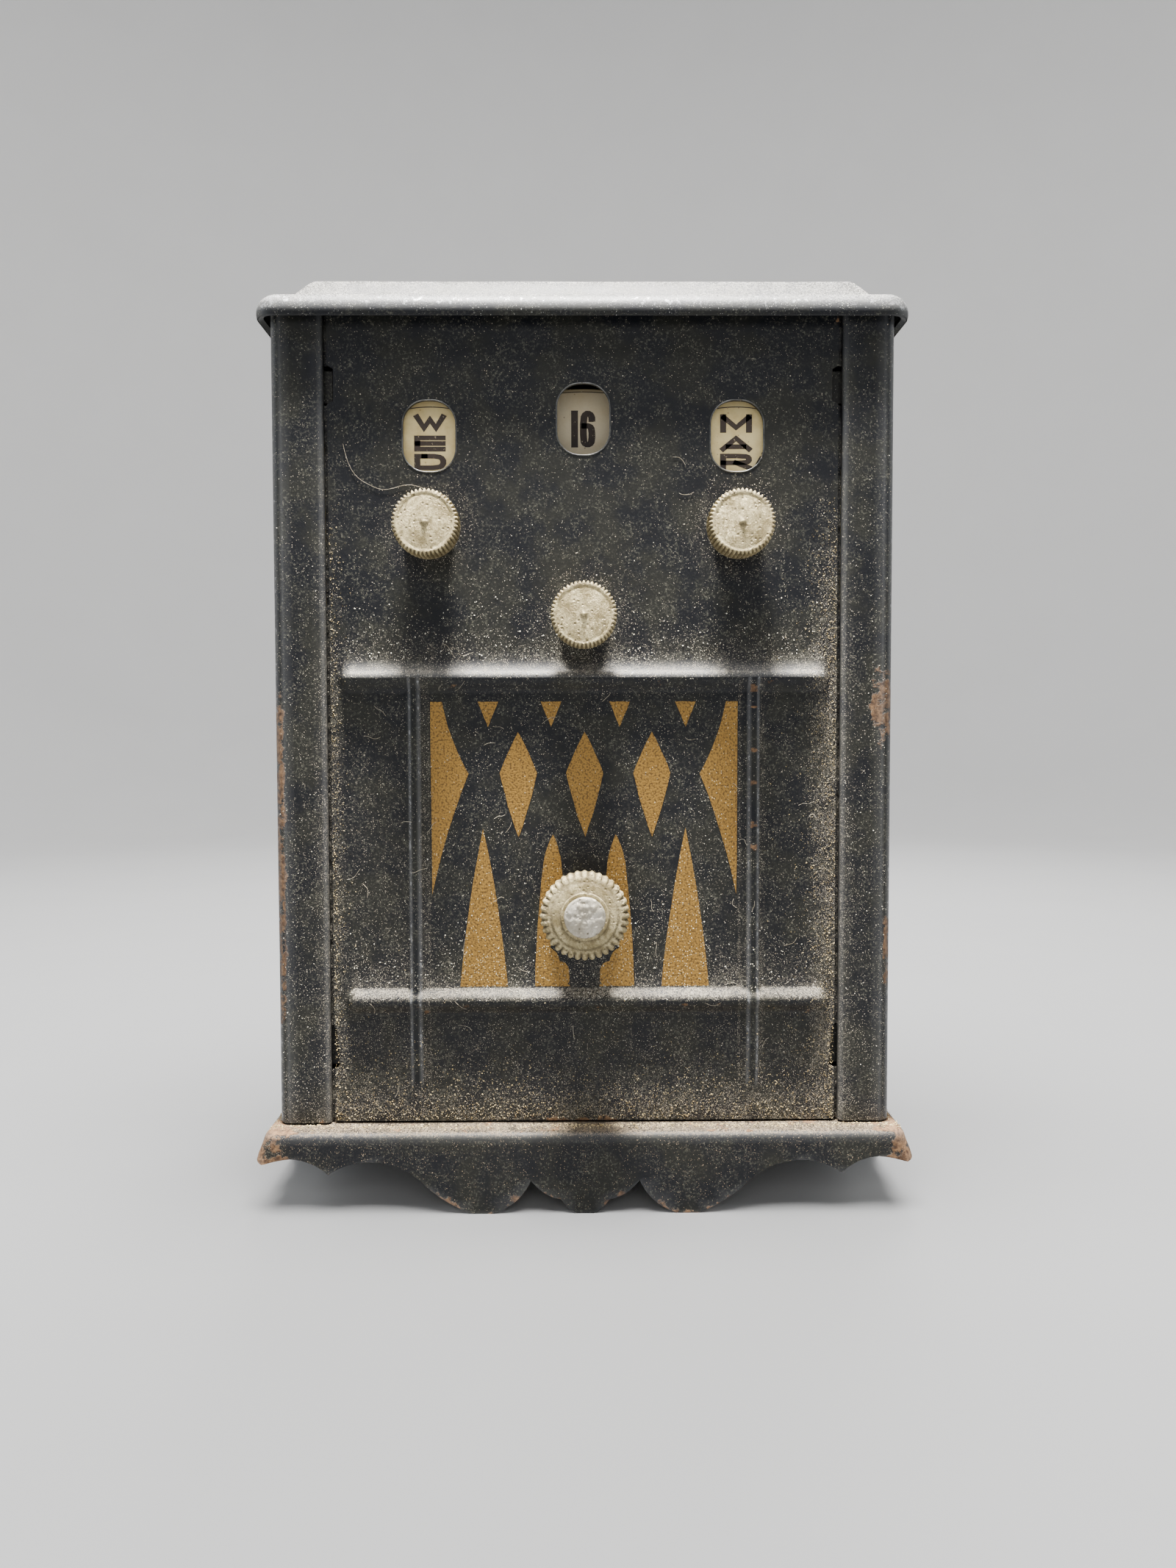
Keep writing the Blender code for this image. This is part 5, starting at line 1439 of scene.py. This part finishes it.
def make_rear_door():
    """A flat door with a pressed bead round it, its curled knuckle and its pull lip."""
    x0, x1 = HINGE.x + 1.7, DOOR_HIGH.x
    z0, z1 = DOOR_LOW.z, DOOR_HIGH.z
    y0 = DOOR_LOW.y + 0.04
    inset = 5.0
    xs = lines(x0, x1, (x0 + inset, x1 - inset), 2.0, 0.25, 1.6)
    zs = lines(z0, z1, (z0 + inset, z1 - inset), 2.0, 0.25, 1.6)

    def raised(x, z):
        dx = abs(x - (x0 + x1) / 2) - ((x1 - x0) / 2 - inset - 2)
        dz = abs(z - (z0 + z1) / 2) - ((z1 - z0) / 2 - inset - 2)
        outside = math.hypot(max(dx, 0), max(dz, 0)) + min(max(dx, dz), 0) - 2
        return bead(abs(outside), 1.4, 0.5) + ripple(x, 9.0, z, 14.0, 0.05)

    points = []
    for thickness in (SHEET, 0.0):
        points += [(x, y0 + thickness + raised(x, z), z) for z in zs for x in xs]
    faces = sheet_faces(len(zs), len(xs), flip=True)
    door = add_mesh("pressed_rear_door", points, faces, ENAMEL, "door", replaces="rear_door")
    smooth_shade(door, 45.0)
    paint(door, door_wear)
    add_door_knuckle()
    lip_z = (z0 + z1) / 2
    points, faces = [], []
    add_box(points, faces, 1, (x1 - SHEET, y0 + 0.4, lip_z - 7), (x1 - 0.02, y0 + 2.2, lip_z + 7))
    lip = add_mesh("door_pull_lip", points, faces, ENAMEL, "door", smooth=30.0)
    bevel = lip.modifiers.new("soft", "BEVEL")
    bevel.width = 0.2 * MM
    bevel.segments = 3
    apply_modifiers(lip)


def door_wear(p, normal):
    edge = min(p.x - DOOR_LOW.x, DOOR_HIGH.x - p.x, p.z - DOOR_LOW.z, DOOR_HIGH.z - p.z)
    proud = 1.0 if abs(normal.y) < 0.97 else 0.0
    rust = 0.2 + 0.4 * smoothstep(2.0, 0.3, edge)
    return 0.14 + 0.2 * proud, rust, 0.5 * smoothstep(0.5, 0.1, edge) + 0.15 * proud


def add_door_knuckle():
    """The sheet's curl round the pin, between the leaf's two knuckles."""
    low_z, high_z = LEDGE_Z + 23.3, LEDGE_Z + 45.3
    curl = [(0.8, high_z), (1.25, high_z), (1.4, high_z - 0.15)]
    curl += [(1.4, low_z + 0.15), (1.25, low_z), (0.8, low_z), (0.8, high_z)]
    columns = 40
    points = []
    for r, z in curl:
        points += [(x, y, z) for x, y in circle(HINGE.x, HINGE.y, r, columns)]
    faces = grid_faces(len(curl), columns, wrap=True)
    web_y = DOOR_LOW.y + 0.06
    web = (HINGE.x + 0.75, web_y, low_z + 0.2), (HINGE.x + 1.9, web_y + SHEET, high_z - 0.2)
    add_box(points, faces, 1, *web)
    knuckle = add_mesh("door_knuckle", points, faces, ENAMEL, "door")
    weld(knuckle.data)
    smooth_shade(knuckle, 45.0)
    paint(knuckle, lambda p, n: (0.1, 0.35, 0.4))


# Dust crumbs and lint.

RNG = random.Random(1932)


CORNERS = [(1, 0, 0), (-1, 0, 0), (0, 1, 0), (0, -1, 0), (0, 0, 1), (0, 0, -1)]
SIDES = [(0, 2, 4), (2, 1, 4), (1, 3, 4), (3, 0, 4), (2, 0, 5), (1, 2, 5), (3, 1, 5), (0, 3, 5)]


def add_crumbs(name, spots, material):
    """One mesh of many eight-sided crumbs, from (place, radius); spots without a place are left out."""
    points, faces = [], []
    for place, radius in spots:
        if place is None:
            continue
        x, y, z = place
        start = len(points)
        squash = [radius * RNG.uniform(0.6, 1.5) for _ in range(3)]
        turn = Matrix.Rotation(RNG.uniform(0, math.tau), 3, Vector((RNG.random(), RNG.random(), 1.0)))
        for corner in CORNERS:
            p = turn @ Vector([c * s for c, s in zip(corner, squash)])
            points.append((x + p.x, y + p.y, z + p.z))
        faces += [tuple(start + i for i in side) for side in SIDES]
    add_mesh(name, points, faces, material, smooth=None)


def on_plate(x, z):
    """A crumb's place on the plate's face, or None where there is a hole or a window."""
    if abs(x) > PLATE_HALF_W - 0.1 or not CASE_FOOT < z < PLATE_Z[1] - 1:
        return None
    if min(math.hypot(x - a.x, z - a.z) for a in (DAY, MONTH, DATE, LOCK)) < 3.8:
        return None
    if min(math.hypot(x - cx, (z - cz) * 0.7) for cx, cz in window_centres()) < 4.6:
        return None
    return (x, plate_face(x, z) - 0.01, z)


def crumb_size(low, high):
    """Most crumbs are near the small end."""
    return low + (high - low) * RNG.random() ** 2.5


def make_crumbs():
    """Crumbs lie on the ledge in front and beside the casing, at the plate's foot, on the ribs, along
    the gaps beside the plate (mostly on the right), all over the plate and on the pilasters."""
    straw, pale = [], []
    on_ledge = LEDGE_Z + 0.02
    for _ in range(1700):
        x = RNG.uniform(-HALF_W - 1.2, HALF_W + 1.2)
        y = FRONT - abs(RNG.gauss(0.0, 1.1)) - 0.05
        if y > PLINTH_LOW.y + 0.9:
            straw.append(((x, y, on_ledge), crumb_size(0.05, 0.16)))
    for _ in range(500):
        x = RNG.choice((-1, 1)) * (HALF_W + RNG.uniform(0.1, 1.2))
        straw.append(((x, RNG.uniform(FRONT, BACK), on_ledge), crumb_size(0.05, 0.14)))
    for _ in range(2600):
        x = RNG.uniform(-PLATE_HALF_W + 0.3, PLATE_HALF_W - 0.3)
        z = CASE_FOOT + 0.2 + RNG.expovariate(1 / 4.0)
        straw.append((on_plate(x, z), crumb_size(0.03, 0.12)))
    for _ in range(3200):
        middle, rib_z = RNG.choice(RIBS)
        x = middle + RNG.uniform(-RIB_REACH, RIB_REACH)
        pale.append((on_plate(x, rib_z + 0.2 + RNG.expovariate(1 / 4.0)), crumb_size(0.03, 0.115)))
    for _ in range(3600):
        right = RNG.random() < 0.72
        x = PLATE_HALF_W - 0.1 - RNG.expovariate(1 / (1.7 if right else 0.7))
        z = LEDGE_Z + RNG.uniform(1.0, 92.0) - RNG.expovariate(1 / 12.0)
        straw.append((on_plate(x if right else -x, z), crumb_size(0.03, 0.11)))
    for _ in range(6500):
        x = RNG.triangular(-PLATE_HALF_W, PLATE_HALF_W, 12.0)
        z = LEDGE_Z + RNG.triangular(2.0, 116.0, 30.0)
        if noise.noise(Vector((x, 0, z)) / 9) > -0.15:
            pale.append((on_plate(x, z), crumb_size(0.018, 0.075)))
    for _ in range(900):
        x = RNG.choice((-1, 1)) * RNG.uniform(HALF_W - 7.0, HALF_W - 0.8)
        z = LEDGE_Z + RNG.triangular(0.5, 110.0, 20.0)
        pale.append(((x, FRONT - 0.01, z), crumb_size(0.02, 0.075)))
    add_crumbs("straw_crumbs", straw, STRAW_CRUMBS)
    add_crumbs("pale_crumbs", pale, PALE_CRUMBS)


def add_fibre(name, points, radius):
    """A hair of lint through the given places."""
    curve = new_wire(name, radius, 1)
    curve.use_fill_caps = True
    spline = add_spline(curve, points, "NURBS")
    spline.use_endpoint_u = True
    spline.order_u = 4
    spline.resolution_u = 6
    add_piece(name, curve, LINT)


def make_lint():
    """One long hair caught on the day knob, and short curls scattered over the face."""
    # The hair's places, across and up from the day knob's axis.
    hair = [(-12.4, 12.2), (-12.0, 10.2), (-11.3, 8.5), (-10.4, 7.4), (-9.4, 6.7), (-8.2, 6.1)]
    hair += [(-7.0, 5.6), (-5.7, 5.7), (-4.4, 6.1), (-3.2, 6.4), (-2.0, 6.3), (-0.9, 5.8)]
    hair = [(DAY.x + x, DAY.z + z) for x, z in hair]
    add_fibre("long_hair", [(x, plate_face(x, z) - 0.12, z) for x, z in hair], 0.02)
    for i in range(46):
        x = RNG.uniform(-35.0, 36.5)
        z = LEDGE_Z + RNG.triangular(2.0, 105.0, 21.0)
        if min(math.hypot(x - a.x, z - a.z) for a in (DAY, MONTH, DATE, LOCK)) < 8.0:
            continue
        if min(math.hypot(x - cx, z - cz) for cx, cz in window_centres()) < 7.5:
            continue
        heading = RNG.uniform(0, math.tau)
        points = []
        for _ in range(5):
            points.append((x, plate_face(x, z) - 0.09, z))
            heading += RNG.uniform(-1.0, 1.0)
            step = RNG.uniform(0.25, 0.8)
            x += step * math.cos(heading)
            z += step * math.sin(heading)
        add_fibre(f"lint_{i:02d}", points, RNG.uniform(0.014, 0.024))


# Finishes of the CAD nodes that stay as they are.


def finish_cad_nodes():
    finishes = {
        "enamel_inside": INNER_ENAMEL,
        "steel": STEEL,
        "brass": BRASS,
        "nickel": NICKEL,
        "enamel": ENAMEL,
        "card": CARD,
    }
    for part in frame["record"]["subparts"]:
        obj = frame["nodes"][part["node"]]
        obj.data.materials.clear()
        obj.data.materials.append(finishes[part["material_slot"]])


# Stage, light and camera.


def make_stage():
    """A round pale sweep: a floor whose rim bends up into a wall all round."""
    mat, tree, shader, where = new_material("pale_sweep")
    tone = grain(tree, where, 0.02)
    set_surface(tree, shader, blend_colour(tree, tone, (0.72, 0.715, 0.705), (0.77, 0.765, 0.755)), 0.75)
    floor_r, bend_r, top = 600.0, 300.0, 1000.0
    seam = (floor_r - 10.0, 0.0)
    wall = [seam] + arc(floor_r, bend_r, bend_r, -90, count=16) + [(floor_r + bend_r, top)]
    add_sweep("sweep_floor", [(1.0, 0.0), (200.0, 0.0), (400.0, 0.0), seam], 0, 360, mat)
    add_sweep("sweep_back", wall, 0, 180, mat)
    front = add_sweep("sweep_front", wall, 180, 360, mat)
    front.visible_diffuse = False  # the wall behind the camera is only a backdrop for other views
    front.visible_glossy = False


def add_sweep(name, path, start, end, mat):
    """One part of the sweep: (radius, height) steps turned between two angles."""
    points = []
    angles = [math.radians(a) for a in range(start, end + 1, 3)]
    for r, z in path:
        points += [(r * math.cos(a), r * math.sin(a), z) for a in angles]
    faces = grid_faces(len(path), len(angles), flip=True)
    mesh = bpy.data.meshes.new(name)
    mesh.from_pydata([Vector(p) * MM for p in points], [], faces)
    sweep = link_object(name, mesh)
    mesh.materials.append(mat)
    mesh.shade_smooth()
    return sweep


def add_area(name, place, target, size, power, colour=(1.0, 1.0, 1.0)):
    light = bpy.data.lights.new(name, "AREA")
    light.shape = "RECTANGLE"
    light.size, light.size_y = size[0] * MM, size[1] * MM
    light.energy = power
    light.color = colour
    obj = link_object(name, light)
    obj.location = Vector(place) * MM
    obj.rotation_euler = (Vector(target) - Vector(place)).to_track_quat("-Z", "Y").to_euler()
    return obj


def make_lights():
    """A small lamp almost straight over the front, so that the ribs and knobs throw long shadows
    down the plate. It lights only the bank; a soft box and weak fills light the sweep as well."""
    middle = (0.0, PLATE_Y, LEDGE_Z + 60.0)
    above = (-8.0, PLATE_Y - 40.0, LEDGE_Z + 430.0)
    key = add_area("overhead_key", above, middle, (70.0, 34.0), 15.0, (1.0, 0.97, 0.92))
    add_area("soft_box", (0.0, FRONT - 150.0, 900.0), (0.0, FRONT, 0.0), (700.0, 600.0), 12.5)
    add_area("front_fill", (0.0, FRONT - 700.0, 330.0), middle, (520.0, 360.0), 0.9)
    for name, x, power, colour in (
        ("left_fill", -460.0, 0.6, (0.90, 0.95, 1.0)),
        ("right_fill", 460.0, 0.5, (0.93, 0.97, 1.0)),
    ):
        add_area(name, (x, FRONT - 60.0, 260.0), middle, (200.0, 300.0), power, colour)
    add_area("back_fill", (60.0, BACK + 330.0, 420.0), middle, (320.0, 260.0), 1.6)
    lit = bpy.data.collections.new("lit_by_the_key")
    bpy.context.scene.collection.children.link(lit)
    for obj in list(bpy.context.scene.objects):
        if obj.type in {"MESH", "CURVE"} and not obj.name.startswith("sweep"):
            lit.objects.link(obj)
    key.light_linking.receiver_collection = lit
    world = bpy.data.worlds.new("studio")
    world.use_nodes = True
    background = world.node_tree.nodes["Background"]
    background.inputs[0].default_value = (0.86, 0.90, 1.0, 1.0)
    background.inputs[1].default_value = 0.10
    bpy.context.scene.world = world


def make_camera():
    """The photograph's camera: a wide lens 17 cm in front of the pilasters, level with the middle of
    the bank and tipped slightly down."""
    camera = bpy.data.cameras.new("camera")
    camera.sensor_width = 36.0
    camera.lens = 27.04
    camera.clip_start = 0.01
    obj = link_object("camera", camera)
    obj.location = Vector((-0.88, FRONT - 171.1, LEDGE_Z + 57.82)) * MM
    pitch, yaw, roll = (math.radians(a) for a in (2.58, -0.48, -0.14))
    turn = Matrix.Rotation(yaw, 3, "Z") @ Matrix.Rotation(math.pi / 2 - pitch, 3, "X")
    obj.rotation_euler = (turn @ Matrix.Rotation(roll, 3, "Z")).to_euler()
    bpy.context.scene.camera = obj


make_front_plate()
make_grille()
make_case()
make_cornice()
make_plinth()
for label, axis in (("day", DAY), ("month", MONTH), ("date", DATE)):
    make_small_knob(label, axis)
make_lock_knob()
make_lock_shaft()
for label, axis, entries in (("day", DAY, DAYS), ("month", MONTH, MONTHS)):
    make_card(label, axis, 20.0, CARD_LOW.y, CARD_HIGH.y, entries, 17.65, CARD, print_name)
rim = DATE_CARD_HIGH.x
make_card(
    "date", DATE, rim - 0.3, DATE_CARD_LOW.y, DATE_CARD_HIGH.y, DATES, rim - 0.8, DATE_CARD, print_date
)
make_rear_door()
make_crumbs()
make_lint()
finish_cad_nodes()
make_stage()
make_lights()
make_camera()
